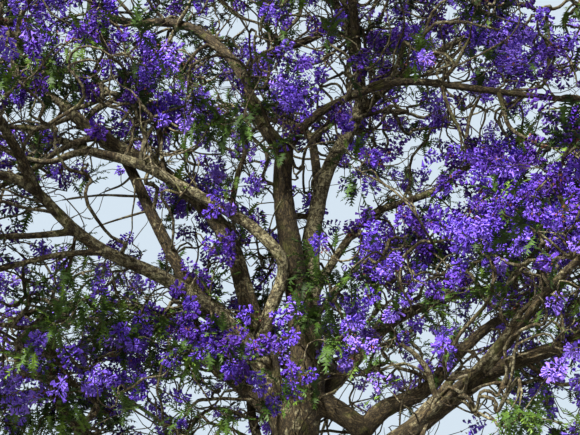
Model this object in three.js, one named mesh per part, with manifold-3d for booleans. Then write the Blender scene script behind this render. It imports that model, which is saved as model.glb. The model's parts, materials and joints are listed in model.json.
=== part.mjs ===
// A jacaranda tree in flower, rooted in level ground: a short trunk, three stems that rise from it,
// long winding boughs, and an open crown of flowering twigs. Millimetres, +Z up.
// The origin is the middle of the flat cut at the foot of the trunk. The front of the tree faces -Y.

import * as THREE from "three";
import { mergeVertices } from "three/addons/utils/BufferGeometryUtils.js";
import Module from "manifold-3d";

const wasm = await Module();
wasm.setup();

// Driving dimensions
const CLEARANCE = 0.3; // gap between solids that touch on the real tree
const FLARE_RISE = 330; // height over which the root flare dies away
const FLARE_SPREAD = 150; // how far the flare stands out at the ground
const ROOT_LOBES = { count: 5, depth: 0.42, turn: 0.6 }; // swellings where the main roots start
const FLARE_OVAL = 0.2; // how far the flare is wider from side to side than from front to back
const TRUNK_RINGS = [0, 90, 220, 420, 800, 1500, 2300, 3100]; // heights, closest at the flare
const TRUNK_SIDES = 13;
const COLLAR = 0.32; // swelling at a limb's foot, as a share of its radius
const COLLAR_RUN = 2.2; // distance over which the swelling dies away, in radii
const TAPER = 0.85; // under 1 thins a limb faster near its foot
const WIDEST_FOOT = 0.95; // widest that a limb's foot can be, over its parent there
const LIMB_SEGMENT = 640; // about how far apart a limb's rings are
const STOUT = { radius: 120, sides: 8 }; // limbs with a foot over this radius have the most sides
const MIDDLING = { radius: 70, sides: 6 };
const SLENDER_SIDES = 5;
const SPRAY = { length: 700, width: 520, thickness: 240 }; // a flowering spray with its leaves
const SPRAY_SPREAD = 0.3; // how much sprays differ in size
const SPRAY_LIFT = 0.3; // how far sprays turn up from the way of their twig
const TWIG_TIP = 13; // radius of a twig where its spray starts
const TWIG_THINNING = 0.8; // girth of the new twig at a fork, over that of the old one
const TWIG_REACH = 1000; // longest run of a twig between two forks
const SHORTEST_TWIG = 180;
const STIFFNESS = 0.5; // how far a twig keeps to its old way at a fork
const STEM_GIRTH = 0.8; // radius of a mass's stem over that of its limb's tip
const STEM_START = 90; // how far a mass's stem runs straight on from its limb
const ROOM = 7.4e5; // area of a mass, seen from above, for each spray in it
const SPACING = 260; // least distance between the places of two sprays
const HOLLOW = 0.25; // share of a mass's room, round its middle, that has no sprays
const TRIES = 400; // how often a mass looks for one more place
const CHOICES = 12; // how many places it compares each time
const SEED = 4100;
const FLATNESS = 0.85; // height of a mass over its width
const LIMB_ROOM = 60; // how far twigs and sprays keep from limbs and from other masses
const LOWEST = 2300; // nothing of the crown hangs below this height

// Openings: gaps in the crown where the sky shows, seen by someone who stands in front of the tree
// with eyes at VIEWER. Each is a place on the upright plane through the trunk: x, height, half width
// and half height. The sight lines through it are kept clear of sprays.
const VIEWER = new THREE.Vector3(-100, -12000, 1600);
const OPENINGS = [
  [-2780, 5850, 360, 250], [-2130, 5650, 300, 300], [-3300, 5350, 380, 190], [-3450, 4800, 190, 220],
  [-2600, 5350, 310, 120], [-1510, 6350, 310, 210], [-1110, 6350, 240, 160], [-1110, 5200, 180, 150],
  [20, 6150, 140, 260], [340, 5370, 90, 180], [620, 5730, 210, 170], [1640, 6330, 370, 170],
  [1700, 5900, 210, 120], [1340, 5640, 170, 150], [160, 7600, 170, 140], [2240, 7500, 430, 250],
  [2320, 6830, 160, 130], [3260, 7450, 220, 120], [940, 8180, 220, 180], [560, 3160, 260, 220],
  [1220, 2980, 370, 200], [2080, 2960, 420, 190], [2210, 4190, 150, 150], [-190, 4210, 110, 170],
  [-580, 3390, 140, 190], [-1120, 3310, 130, 110], [-2330, 3650, 160, 160], [-2700, 3760, 120, 160],
];

// Limbs. Each leaves its parent at a share of the parent's length. course is the way it heads, as
// bearing and climb, at even steps from its foot to its tip. Bearings are in degrees from +X,
// anticlockwise from above; climbs are in degrees above level, and over 90 leans back. radius is at
// the foot and at the tip.
const LIMBS = [
  { name: "trunk", length: 3720, radius: [325, 225], course: [[0, 91], [0, 91], [0, 88], [0, 77]] },

  { name: "stem_left", from: "trunk", at: 0.66, length: 1440, radius: [160, 138],
    course: [[180, 66], [185, 74], [205, 80]] },
  { name: "stem_middle", from: "trunk", at: 0.95, length: 2850, radius: [165, 118],
    course: [[235, 78], [222, 80], [190, 81], [190, 97]] },
  { name: "stem_right", from: "trunk", at: 0.93, length: 5500, radius: [138, 62],
    course: [[30, 80], [100, 87], [20, 79], [8, 59], [8, 100], [30, 118]] },

  { name: "bough_left_high", from: "stem_left", at: 0.97, length: 5800, radius: [88, 46],
    course: [[265, 53], [334, 66], [174, 46], [189, 26], [207, 22], [157, 20], [124, 27], [140, 25],
      [136, 24]] },
  { name: "bough_left_broad", from: "stem_left", at: 0.9, length: 4150, radius: [122, 74],
    course: [[204, 68], [214, 72], [195, 42], [193, 25], [196, 42]] },
  { name: "bough_left_low", from: "stem_left", at: 0.7, length: 4500, radius: [112, 50],
    course: [[205, 58], [216, 29], [208, 16], [221, 36], [216, -26]] },
  { name: "bough_left_cross", from: "bough_left_low", at: 0.2, length: 3000, radius: [88, 60],
    course: [[200, 36], [184, 62], [164, 64], [158, 50]] },
  { name: "bough_left_side", from: "bough_left_low", at: 0.66, length: 1900, radius: [42, 30],
    course: [[214, -17], [222, -12], [228, 6]] },
  { name: "bough_left_droop", from: "bough_left_low", at: 0.56, length: 2100, radius: [40, 28],
    course: [[217, -8], [217, -24], [214, -28]] },
  { name: "bough_front_left", from: "bough_left_low", at: 0.8, length: 2000, radius: [60, 42],
    course: [[250, 40], [246, 34], [244, 26]] },
  { name: "bough_left_bottom", from: "trunk", at: 0.52, length: 3700, radius: [92, 50],
    course: [[197, 16], [198, 10], [198, 34], [200, 90]] },

  { name: "bough_back_stem", from: "trunk", at: 0.58, length: 2200, radius: [78, 44],
    course: [[142, 26], [136, 58], [125, 80], [128, 74]] },
  { name: "bough_top_left", from: "stem_middle", at: 0.98, length: 4050, radius: [90, 50],
    course: [[184, 52], [153, 70], [163, 44], [170, 4], [163, 46]] },
  { name: "bough_top", from: "bough_top_left", at: 0.26, length: 2000, radius: [72, 48],
    course: [[17, 70], [30, 30], [34, 44]] },
  { name: "bough_right_level", from: "stem_middle", at: 0.96, length: 4700, radius: [62, 36],
    course: [[343, 60], [345, 18], [341, -17], [341, -16], [341, 2]] },
  { name: "bough_inner_high", from: "stem_middle", at: 0.72, length: 1350, radius: [44, 28],
    course: [[262, 58], [240, 46]] },

  { name: "bough_front_high", from: "stem_right", at: 0.78, length: 3700, radius: [66, 42],
    course: [[262, 56], [258, 38], [246, 16], [240, 2]] },
  { name: "bough_front_high_right", from: "bough_front_high", at: 0.42, length: 2500, radius: [54, 40],
    course: [[292, 30], [300, 14], [300, 2]] },
  { name: "bough_crown_right", from: "stem_right", at: 0.66, length: 2500, radius: [60, 42],
    course: [[8, 50], [2, 36], [0, 22]] },
  { name: "bough_inner_right", from: "stem_right", at: 0.12, length: 1150, radius: [40, 27],
    course: [[306, 44], [326, 30]] },
  { name: "bough_right_rising", from: "stem_right", at: 0.19, length: 3600, radius: [60, 42],
    course: [[14, 62], [4, 56], [-10, 14], [0, 40], [0, 18]] },
  { name: "bough_back_high", from: "stem_right", at: 0.4, length: 3900, radius: [76, 46],
    course: [[84, 50], [96, 56], [120, 30], [130, 16]] },
  { name: "bough_back_high_right", from: "bough_back_high", at: 0.45, length: 2300, radius: [58, 42],
    course: [[60, 44], [50, 30], [44, 16]] },

  { name: "bough_right_drop", from: "trunk", at: 0.87, length: 860, radius: [128, 114],
    course: [[352, -14], [346, -44]] },
  { name: "bough_right_sweep", from: "bough_right_drop", at: 0.97, length: 2500, radius: [114, 56],
    course: [[15, 54], [12, 20], [16, 48], [20, 40], [24, 28]] },
  { name: "bough_right_low", from: "trunk", at: 0.52, length: 4500, radius: [150, 66],
    course: [[350, 36], [336, 31], [345, 35], [344, 15], [338, 28]] },
  { name: "bough_right_front", from: "bough_right_low", at: 0.27, length: 2300, radius: [64, 42],
    course: [[328, 32], [328, 36], [332, 52]] },
  { name: "bough_front_right", from: "bough_right_low", at: 0.5, length: 2500, radius: [58, 42],
    course: [[318, 32], [304, 38], [296, 16]] },

  { name: "bough_back_low", from: "trunk", at: 0.7, length: 4500, radius: [118, 58],
    course: [[90, 34], [84, 36], [76, 10], [72, 4]] },
  { name: "bough_back_right", from: "trunk", at: 0.82, length: 4500, radius: [108, 56],
    course: [[50, 34], [42, 42], [38, 22], [30, 14]] },
  { name: "bough_back_left", from: "stem_left", at: 0.4, length: 4400, radius: [104, 54],
    course: [[150, 34], [138, 40], [130, 20], [128, 10]] },
];

// Masses of flowering twigs. Each grows on from a limb's tip. lead is the way from that tip to the
// middle of the mass: bearing, climb and distance. size is half the mass's width. fullness is how
// many times the usual number of sprays it has.
const MASSES = [
  { name: "mass_left_high", limb: "bough_left_high", lead: [169, 13, 910], size: 1600 },
  { name: "mass_left_broad", limb: "bough_left_broad", lead: [200, 58, 950], size: 1500 },
  { name: "mass_left_cross", limb: "bough_left_cross", lead: [150, 66, 850], size: 1400 },
  { name: "mass_left_low", limb: "bough_left_low", lead: [196, 14, 1050], size: 1450 },
  { name: "mass_left_side", limb: "bough_left_side", lead: [210, 10, 700], size: 1150 },
  { name: "mass_left_droop", limb: "bough_left_droop", lead: [190, -14, 700], size: 1200 },
  { name: "mass_front_left", limb: "bough_front_left", lead: [236, 16, 1000], size: 1550 },
  { name: "mass_left_bottom", limb: "bough_left_bottom", lead: [170, 30, 420], size: 1450 },
  { name: "mass_back_stem", limb: "bough_back_stem", lead: [170, 10, 560], size: 1300 },
  { name: "mass_top_left", limb: "bough_top_left", lead: [120, 36, 850], size: 1650 },
  { name: "mass_top", limb: "bough_top", lead: [20, 62, 1150], size: 1650 },
  { name: "mass_top_middle", limb: "stem_right", lead: [150, 62, 1250], size: 1650 },
  { name: "mass_right_level", limb: "bough_right_level", lead: [345, 12, 950], size: 1550 },
  { name: "mass_inner_high", limb: "bough_inner_high", lead: [235, 50, 560], size: 1150, fullness: 1.2 },
  { name: "mass_front_high_left", limb: "bough_front_high", lead: [226, 6, 1000], size: 1650 },
  { name: "mass_front_high_right", limb: "bough_front_high_right", lead: [300, 4, 900], size: 1650 },
  { name: "mass_crown_right", limb: "bough_crown_right", lead: [352, 24, 950], size: 1650, fullness: 1.2 },
  { name: "mass_inner_right", limb: "bough_inner_right", lead: [330, 20, 560], size: 1150 },
  { name: "mass_right_rising", limb: "bough_right_rising", lead: [350, -20, 750], size: 1500 },
  { name: "mass_back_high_left", limb: "bough_back_high", lead: [136, 10, 1000], size: 1750 },
  { name: "mass_back_high_right", limb: "bough_back_high_right", lead: [38, 12, 1000], size: 1700 },
  { name: "mass_right_sweep", limb: "bough_right_sweep", lead: [60, 62, 650], size: 1250 },
  { name: "mass_right_low", limb: "bough_right_low", lead: [0, 10, 950], size: 1500 },
  { name: "mass_right_front", limb: "bough_right_front", lead: [330, 50, 600], size: 1200, fullness: 1.2 },
  { name: "mass_front_right", limb: "bough_front_right", lead: [292, 18, 900], size: 1450 },
  { name: "mass_back_low", limb: "bough_back_low", lead: [84, -4, 1000], size: 1850 },
  { name: "mass_back_right", limb: "bough_back_right", lead: [30, 0, 1000], size: 1800, fullness: 1.2 },
  { name: "mass_back_left", limb: "bough_back_left", lead: [134, 0, 1000], size: 1850 },
];

// Places and directions

const UP = new THREE.Vector3(0, 0, 1);
const radians = THREE.MathUtils.degToRad;

function heading(bearing, climb) {
  const b = radians(bearing);
  const c = radians(climb);
  return new THREE.Vector3(Math.cos(b) * Math.cos(c), Math.sin(b) * Math.cos(c), Math.sin(c));
}

// Gives the same numbers on each run, from the seed that it was last called with.
const random = THREE.MathUtils.seededRandom;

// A number from one limit to the other.
const between = (low, high) => THREE.MathUtils.lerp(low, high, random());

// Limbs

const ROUTE_STEPS = 60;

// The line that a limb follows, as ROUTE_STEPS + 1 points.
function limbRoute(limb, foot) {
  const step = limb.length / ROUTE_STEPS;
  const points = [foot.clone()];
  for (let k = 0; k < ROUTE_STEPS; k++) {
    const place = ((k + 0.5) / ROUTE_STEPS) * (limb.course.length - 1);
    const before = limb.course[Math.floor(place)];
    const after = limb.course[Math.floor(place) + 1];
    const share = THREE.MathUtils.smoothstep(place % 1, 0, 1);
    const bearing = THREE.MathUtils.lerp(before[0], after[0], share);
    const climb = THREE.MathUtils.lerp(before[1], after[1], share);
    points.push(points[k].clone().addScaledVector(heading(bearing, climb), step));
  }
  return points;
}

function limbRadius(limb, share) {
  const [foot, tip] = limb.radius;
  const along = share * limb.length;
  const collar = limb.from ? COLLAR * Math.exp(-along / (COLLAR_RUN * foot)) : 0;
  const swollen = (foot + (tip - foot) * share ** TAPER) * (1 + collar);
  return Math.min(swollen, limb.widest ?? Infinity);
}

// Extra radius of the trunk's root flare at a height above the ground and an angle round it.
function rootFlare(height, angle) {
  const lobes = ROOT_LOBES.depth * Math.cos(ROOT_LOBES.count * angle + ROOT_LOBES.turn);
  const oval = FLARE_OVAL * Math.cos(2 * angle);
  return FLARE_SPREAD * Math.exp(-height / FLARE_RISE) * (1 + lobes + oval);
}

// A closed tube through rings of points; each ring is one closed outline of the same count.
function tubeSolid(rings) {
  const sides = rings[0].length;
  const positions = [];
  const face = (a, b, c) => {
    const pointed = a.equals(b) || b.equals(c) || c.equals(a);
    if (!pointed) positions.push(...a.toArray(), ...b.toArray(), ...c.toArray());
  };
  for (let k = 0; k + 1 < rings.length; k++) {
    for (let i = 0; i < sides; i++) {
      const j = (i + 1) % sides;
      face(rings[k][i], rings[k][j], rings[k + 1][j]);
      face(rings[k][i], rings[k + 1][j], rings[k + 1][i]);
    }
  }
  const last = rings.length - 1;
  for (let i = 1; i + 1 < sides; i++) {
    face(rings[0][0], rings[0][i + 1], rings[0][i]);
    face(rings[last][0], rings[last][i], rings[last][i + 1]);
  }
  return solidOf(positions);
}

// A solid from the corners of its triangles.
function solidOf(positions) {
  const loose = new THREE.BufferGeometry();
  loose.setAttribute("position", new THREE.Float32BufferAttribute(positions, 3));
  const closed = mergeVertices(loose, 1e-3);
  return new wasm.Manifold(new wasm.Mesh({
    numProp: 3,
    vertProperties: closed.attributes.position.array,
    triVerts: new Uint32Array(closed.index.array),
  }));
}

// Rings round a line of points, square to it, without twist. radiiAt gives each ring's two half axes.
function ringsAlong(points, radiiAt, sides) {
  let side = new THREE.Vector3(0, 1, 0);
  return points.map((point, k) => {
    const before = points[Math.max(k - 1, 0)];
    const after = points[Math.min(k + 1, points.length - 1)];
    const along = after.clone().sub(before).normalize();
    if (Math.abs(along.dot(side)) > 0.97) side = new THREE.Vector3(1, 0, 0);
    side = side.clone().addScaledVector(along, -side.dot(along)).normalize();
    const across = along.clone().cross(side);
    const [wide, thick] = radiiAt(k);
    return Array.from({ length: sides }, (_, i) => {
      const angle = (2 * Math.PI * i) / sides;
      return point.clone()
        .addScaledVector(side, wide * Math.cos(angle))
        .addScaledVector(across, thick * Math.sin(angle));
    });
  });
}

// The trunk's rings are level, so that its foot is a flat cut at the ground.
function trunkSolid(trunk, extra) {
  const rings = [...TRUNK_RINGS, trunk.length].map((height) => {
    const share = height / trunk.length;
    const middle = trunk.route[Math.round(share * ROUTE_STEPS)];
    return Array.from({ length: TRUNK_SIDES }, (_, i) => {
      const angle = (2 * Math.PI * i) / TRUNK_SIDES;
      const r = limbRadius(trunk, share) + rootFlare(height, angle) + extra;
      return new THREE.Vector3(
        middle.x + r * Math.cos(angle),
        middle.y + r * Math.sin(angle),
        height + (height === trunk.length ? extra : 0),
      );
    });
  });
  return tubeSolid(rings);
}

// The places along a limb, as shares of its length, where its solid has a ring.
function ringShares(limb) {
  const segments = Math.max(3, Math.round(limb.length / LIMB_SEGMENT));
  const shares = Array.from({ length: segments + 1 }, (_, k) => k / segments);
  const afterCollar = 0.5 / segments;
  return limb.length > 3 * LIMB_SEGMENT ? shares.toSpliced(1, 0, afterCollar) : shares;
}

// Stout limbs have more sides than slender ones.
function sidesOf(limb) {
  const [foot] = limb.radius;
  if (foot > STOUT.radius) return STOUT.sides;
  return foot > MIDDLING.radius ? MIDDLING.sides : SLENDER_SIDES;
}

const routeAt = (limb, share) => limb.route[Math.round(share * ROUTE_STEPS)].clone();

// The way a limb's solid heads where it ends.
function tipHeading(limb) {
  const [share] = ringShares(limb).slice(-2);
  return routeAt(limb, 1).sub(routeAt(limb, share)).normalize();
}

function boughSolid(limb, extra) {
  const shares = ringShares(limb);
  const points = shares.map((share) => routeAt(limb, share));
  points.at(-1).addScaledVector(tipHeading(limb), extra);
  points[0].addScaledVector(points[1].clone().sub(points[0]).normalize(), -extra);
  const radiiAt = (k) => Array(2).fill(limbRadius(limb, shares[k]) + extra);
  return tubeSolid(ringsAlong(points, radiiAt, sidesOf(limb)));
}

const limbSolid = (limb, extra) =>
  limb.from ? boughSolid(limb, extra) : trunkSolid(limb, extra);

// The biggest of the bodies that a cut or a join leaves; scraps and sealed hollows are dropped.
function mainBody(solid) {
  return solid.decompose().reduce((best, body) => (body.volume() > best.volume() ? body : best));
}

// Each limb in turn is cut clear of all that were grown before it, so that its foot fits its parent.
const limbs = new Map();
const cutters = [];
for (const row of LIMBS) {
  const parent = limbs.get(row.from);
  const foot = parent ? routeAt(parent, row.at) : new THREE.Vector3(0, 0, 0);
  const widest = parent ? WIDEST_FOOT * limbRadius(parent, row.at) : Infinity;
  const limb = { ...row, widest, route: limbRoute(row, foot) };
  const whole = limbSolid(limb, 0);
  limb.solid = mainBody(cutters.reduce((solid, cutter) => solid.subtract(cutter), whole));
  cutters.push(limbSolid(limb, CLEARANCE));
  limbs.set(limb.name, limb);
}

// Masses

// How deep a place is in a mass: 0 at the middle, 1 at the edge, more outside.
function depthIn(mass, place) {
  const d = place.clone().sub(mass.middle);
  return Math.hypot(d.x, d.y, d.z / FLATNESS) / mass.size;
}

// Whether a place lies on a sight line through one of the openings.
function inOpening(place) {
  const share = -VIEWER.y / (place.y - VIEWER.y);
  const x = VIEWER.x + (place.x - VIEWER.x) * share;
  const z = VIEWER.z + (place.z - VIEWER.z) * share;
  return OPENINGS.some(([ox, oz, w, h]) => Math.hypot((x - ox) / w, (z - oz) / h) < 1);
}

const masses = MASSES.map((row) => {
  const limb = limbs.get(row.limb);
  const tip = routeAt(limb, 1);
  const along = tipHeading(limb);
  const [bearing, climb, distance] = row.lead;
  const middle = tip.clone().addScaledVector(heading(bearing, climb), distance);
  return { ...row, tip, along, middle, girth: limb.radius[1] * STEM_GIRTH };
});

// A place in a mass, most often near its skin.
function placeIn(mass) {
  const out = between(HOLLOW, 1) ** (1 / 3);
  const up = between(-1, 1);
  const turn = between(0, 2 * Math.PI);
  const flat = Math.sqrt(1 - up * up);
  return new THREE.Vector3(flat * Math.cos(turn), flat * Math.sin(turn), up * FLATNESS)
    .multiplyScalar(mass.size * out)
    .add(mass.middle);
}

// Whether a place is in the space that the mass keeps to itself.
function isOwnPlace(mass, place) {
  const depth = depthIn(mass, place);
  const nearest = masses.every((other) => depthIn(other, place) >= depth);
  return nearest && place.z > LOWEST && !inOpening(place);
}

// The places of a mass's sprays, spread evenly through its own space.
function sprayPlaces(mass) {
  const count = Math.round((Math.PI * mass.size ** 2 * (mass.fullness ?? 1)) / ROOM);
  const places = [];
  for (let tries = 0; places.length < count && tries < TRIES; tries++) {
    let best = null;
    let bestSpace = SPACING;
    for (let k = 0; k < CHOICES; k++) {
      const place = placeIn(mass);
      const space = places.reduce((least, p) => Math.min(least, p.distanceTo(place)), Infinity);
      if (space > bestSpace && isOwnPlace(mass, place)) {
        best = place;
        bestSpace = space;
      }
    }
    if (best) places.push(best);
  }
  return places;
}

// A three-sided twig through a line of stations. A station has a place and two half axes.
function twigSolid(stations, extra) {
  const points = stations.map((station) => station.place);
  const radiiAt = (k) => stations[k].radii.map((r) => (r > 0 ? r + extra : 0));
  return tubeSolid(ringsAlong(points, radiiAt, 3));
}

// The stations of a spray that grows on from the end of a twig: its widest part and its tip.
function sprayStations(end, along) {
  const scale = between(1 - SPRAY_SPREAD, 1 + SPRAY_SPREAD);
  const aim = along.clone().addScaledVector(UP, SPRAY_LIFT).normalize();
  const at = (share) => end.clone().addScaledVector(aim, share * SPRAY.length * scale);
  const half = [(SPRAY.width / 1.5) * scale, (SPRAY.thickness / Math.sqrt(3)) * scale];
  return [{ place: at(0.5), radii: half }, { place: at(1), radii: [0, 0] }];
}

// Everything that twigs and sprays have to keep clear of: the limbs, then each mass once it is grown.
const blocked = [...limbs.values()].map((limb) => ({ name: limb.name, solid: limb.solid }));

// Whether a piece touches nothing that is there already, apart from the limb that it grows from.
function isClear(probe, ignored) {
  const box = probe.boundingBox();
  return blocked.every(({ name, solid }) => {
    if (name === ignored) return true;
    const other = solid.boundingBox();
    const apart = [0, 1, 2].some((i) => box.max[i] < other.min[i] || other.max[i] < box.min[i]);
    return apart || probe.intersect(solid).volume() < 1;
  });
}

// Splits places in two, across the way in which they spread most.
function splitPlaces(places, middle) {
  let spread = places[0].clone().sub(middle);
  for (const place of places) {
    const away = place.clone().sub(middle);
    if (away.length() > spread.length()) spread = away;
  }
  const sorted = [...places].sort((a, b) => a.dot(spread) - b.dot(spread));
  const half = Math.ceil(sorted.length / 2);
  return [sorted.slice(0, half), sorted.slice(half)];
}

// Grows a twig on towards the places of its sprays, and forks it until each has its own. At a fork
// the twig carries on towards one half of the places, and a new twig starts towards the other half.
function growTwig(mass, twig, along, places, twigs) {
  const from = twig.at(-1).place;
  const middle = places
    .reduce((sum, place) => sum.add(place), new THREE.Vector3())
    .divideScalar(places.length);
  const way = middle.clone().sub(from);
  const single = places.length === 1;
  const last = Math.max(way.length() - SPRAY.length / 3, SHORTEST_TWIG);
  const run = single ? last : Math.min(way.length() / 2, TWIG_REACH);
  const course = way.normalize().addScaledVector(along, STIFFNESS).normalize();
  const end = from.clone().addScaledVector(course, run);
  const girth = Math.min(mass.girth, TWIG_TIP * Math.sqrt(places.length));
  const next = [{ place: end, radii: [girth, girth] }];
  if (single) next.push(...sprayStations(end, course));
  const isStem = twigs.length === 0 && twig.length === 2;
  const probe = twigSolid([twig.at(-1), ...next], LIMB_ROOM);
  if (!isClear(probe, isStem ? mass.limb : "")) {
    if (twig.length > 1) twigs.push(twig);
    return;
  }
  twig.push(...next);
  if (single) {
    twigs.push(twig);
    return;
  }
  const [onward, aside] = splitPlaces(places, middle);
  const thinner = girth * TWIG_THINNING;
  growTwig(mass, twig, course, onward, twigs);
  growTwig(mass, [{ place: end, radii: [thinner, thinner] }], course, aside, twigs);
}

// One body: a stem that starts just clear of its limb's tip, with all its twigs and sprays.
function massSolid(mass, index) {
  random(SEED + index);
  const places = sprayPlaces(mass);
  const twigs = [];
  const stem = [CLEARANCE, STEM_START].map((distance) => ({
    place: mass.tip.clone().addScaledVector(mass.along, distance),
    radii: [mass.girth, mass.girth],
  }));
  growTwig(mass, stem, mass.along, places, twigs);
  const solids = twigs.map((twig) => twigSolid(twig, 0));
  return mainBody(wasm.Manifold.union(solids));
}

// A mesh of a solid, in its own colour.
function meshOf(solid, name, material) {
  const made = solid.getMesh();
  const geometry = new THREE.BufferGeometry();
  const count = made.numProp;
  const places = new Float32Array(made.numVert * 3);
  for (let i = 0; i < made.numVert; i++) {
    places.set(made.vertProperties.subarray(i * count, i * count + 3), i * 3);
  }
  geometry.setAttribute("position", new THREE.BufferAttribute(places, 3));
  geometry.setIndex(new THREE.BufferAttribute(new Uint32Array(made.triVerts), 1));
  const mesh = new THREE.Mesh(geometry, material);
  mesh.name = name;
  return mesh;
}

const bark = new THREE.MeshStandardMaterial({ color: 0x5b5140, roughness: 0.95, metalness: 0 });
const blossom = new THREE.MeshStandardMaterial({ color: 0x6a4fae, roughness: 0.8, metalness: 0 });

const tree = new THREE.Group();
for (const limb of limbs.values()) tree.add(meshOf(limb.solid, limb.name, bark));
masses.forEach((mass, index) => {
  const solid = massSolid(mass, index);
  blocked.push({ name: mass.name, solid });
  tree.add(meshOf(solid, mass.name, blossom));
});

export default tree;
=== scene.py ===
"""A jacaranda tree in full flower, rooted in level ground.

The tree is made in the order in which it grows: bark over the trunk and boughs, the smaller boughs
and twigs that grow on from them, then the flowers, the rusty calyces that spent flowers leave, and
the ferny leaves. Metres, +Z up, front of the tree towards -Y, origin at the foot of the trunk.
"""

import itertools
import json
import math

import bmesh
import bpy
import numpy as np
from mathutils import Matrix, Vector, kdtree

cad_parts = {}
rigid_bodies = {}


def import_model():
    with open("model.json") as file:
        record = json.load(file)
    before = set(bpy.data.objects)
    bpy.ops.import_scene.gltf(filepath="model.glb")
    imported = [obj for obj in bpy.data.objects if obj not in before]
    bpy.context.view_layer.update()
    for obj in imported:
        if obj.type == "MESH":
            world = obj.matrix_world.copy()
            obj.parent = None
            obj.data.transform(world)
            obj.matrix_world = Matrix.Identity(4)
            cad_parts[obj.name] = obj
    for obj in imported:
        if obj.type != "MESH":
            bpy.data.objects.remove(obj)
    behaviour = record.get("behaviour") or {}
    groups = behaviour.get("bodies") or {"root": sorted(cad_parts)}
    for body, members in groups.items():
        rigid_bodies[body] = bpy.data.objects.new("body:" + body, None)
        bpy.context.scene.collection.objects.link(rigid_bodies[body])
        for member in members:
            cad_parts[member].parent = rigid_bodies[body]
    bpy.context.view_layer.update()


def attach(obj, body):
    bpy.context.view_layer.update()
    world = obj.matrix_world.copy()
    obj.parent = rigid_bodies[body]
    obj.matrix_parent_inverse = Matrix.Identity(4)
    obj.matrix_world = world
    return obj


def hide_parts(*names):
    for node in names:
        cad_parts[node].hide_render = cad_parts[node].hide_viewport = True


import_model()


# The view and the studio
# The view is from 12 m in front of the trunk, up into the crown. The studio is a plain pale floor
# under a pale sky, with one broad soft light high on the left.

EYE = np.array([-0.1, -12.0, 1.6])
GAZE_CLIMB = 18
SIGHT_REACH = 200
FOCAL_PIXELS = 1000
PHOTO_WIDTH_PIXELS = 580
SKY_SEEN = (0.675, 0.785, 0.885, 1)
SKY_LIGHT = (0.29, 0.305, 0.33, 1)
SUN_STRENGTH = 13.5
SUN_SOFTNESS = 14
SUN_TURN = (42, -27, 0)
FLOOR_HALF_SIDE = 150
FLOOR_COLOUR = (0.17, 0.17, 0.165, 1)
FLOOR_ROUGHNESS = 0.9


def stand(name, data):
    """Puts something in the scene as an object."""
    made = bpy.data.objects.new(name, data)
    bpy.context.scene.collection.objects.link(made)
    return made


camera_data = bpy.data.cameras.new("eye")
camera_data.lens = FOCAL_PIXELS * camera_data.sensor_width / PHOTO_WIDTH_PIXELS
camera_data.clip_end = SIGHT_REACH
camera = stand("eye", camera_data)
camera.location = Vector(EYE)
camera.rotation_euler = (math.radians(90 + GAZE_CLIMB), 0, 0)
bpy.context.scene.camera = camera


class Nodes:
    """Lays the nodes of one tree, and links them as it goes."""

    def __init__(self, tree):
        self.tree = tree

    def add(self, kind, **given):
        """Adds a node. Settings are set on it, and inputs, named with a capital, are fed."""
        node = self.tree.nodes.new(kind)
        for key, value in given.items():
            if key[0].islower():
                setattr(node, key, value)
        for key, value in given.items():
            if key[0].isupper():
                self.feed(node.inputs[key.replace("_", " ")], value)
        return node

    def feed(self, socket, value):
        """Links an output to an input, or sets the input's own value."""
        if isinstance(value, bpy.types.NodeSocket):
            self.tree.links.new(value, socket)
        else:
            socket.default_value = value

    def spot(self):
        """Where on the tree a point lies."""
        return self.add("ShaderNodeTexCoord").outputs["Object"]

    def stored(self, name, output):
        """What the mesh keeps under a name, as a Vector or as a Fac."""
        return self.add("ShaderNodeAttribute", attribute_name=name).outputs[output]

    def noise(self, place, fineness, detail=2, roughness=0.5, distortion=0):
        """Patches of 0 to 1, as many to the metre as their fineness."""
        return self.add("ShaderNodeTexNoise", Vector=place, Scale=fineness, Detail=detail,
                        Roughness=roughness, Distortion=distortion).outputs["Fac"]

    def ranged(self, value, low, high, out_low=0, out_high=1):
        """A value that runs from low to high, put on another range and held inside it."""
        return self.add("ShaderNodeMapRange", Value=value, From_Min=low, From_Max=high,
                        To_Min=out_low, To_Max=out_high).outputs["Result"]

    def math(self, operation, first, second=0.0):
        """A sum of two values."""
        node = self.add("ShaderNodeMath", operation=operation)
        self.feed(node.inputs[0], first)
        self.feed(node.inputs[1], second)
        return node.outputs["Value"]

    def mixed(self, share, first, second):
        """A colour between two others. The node has its colours in inputs 6 and 7, output 2."""
        node = self.add("ShaderNodeMix", data_type="RGBA")
        self.feed(node.inputs[0], share)
        self.feed(node.inputs[6], first)
        self.feed(node.inputs[7], second)
        return node.outputs[2]


def new_material(name):
    """A material and the inputs of its shader."""
    material = bpy.data.materials.new(name)
    material.use_nodes = True
    return material, material.node_tree.nodes["Principled BSDF"].inputs


world = bpy.data.worlds.new("pale_sky")
world.use_nodes = True
sky = Nodes(world.node_tree)
seen_directly = sky.add("ShaderNodeLightPath").outputs["Is Camera Ray"]
sky_colour = sky.mixed(seen_directly, SKY_LIGHT, SKY_SEEN)
sky.feed(world.node_tree.nodes["Background"].inputs["Color"], sky_colour)
bpy.context.scene.world = world
bpy.context.scene.view_settings.view_transform = "Standard"

sun_data = bpy.data.lights.new("soft_light", "SUN")
sun_data.energy = SUN_STRENGTH
sun_data.angle = math.radians(SUN_SOFTNESS)
sun = stand("soft_light", sun_data)
sun.rotation_euler = [math.radians(turn) for turn in SUN_TURN]

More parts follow.
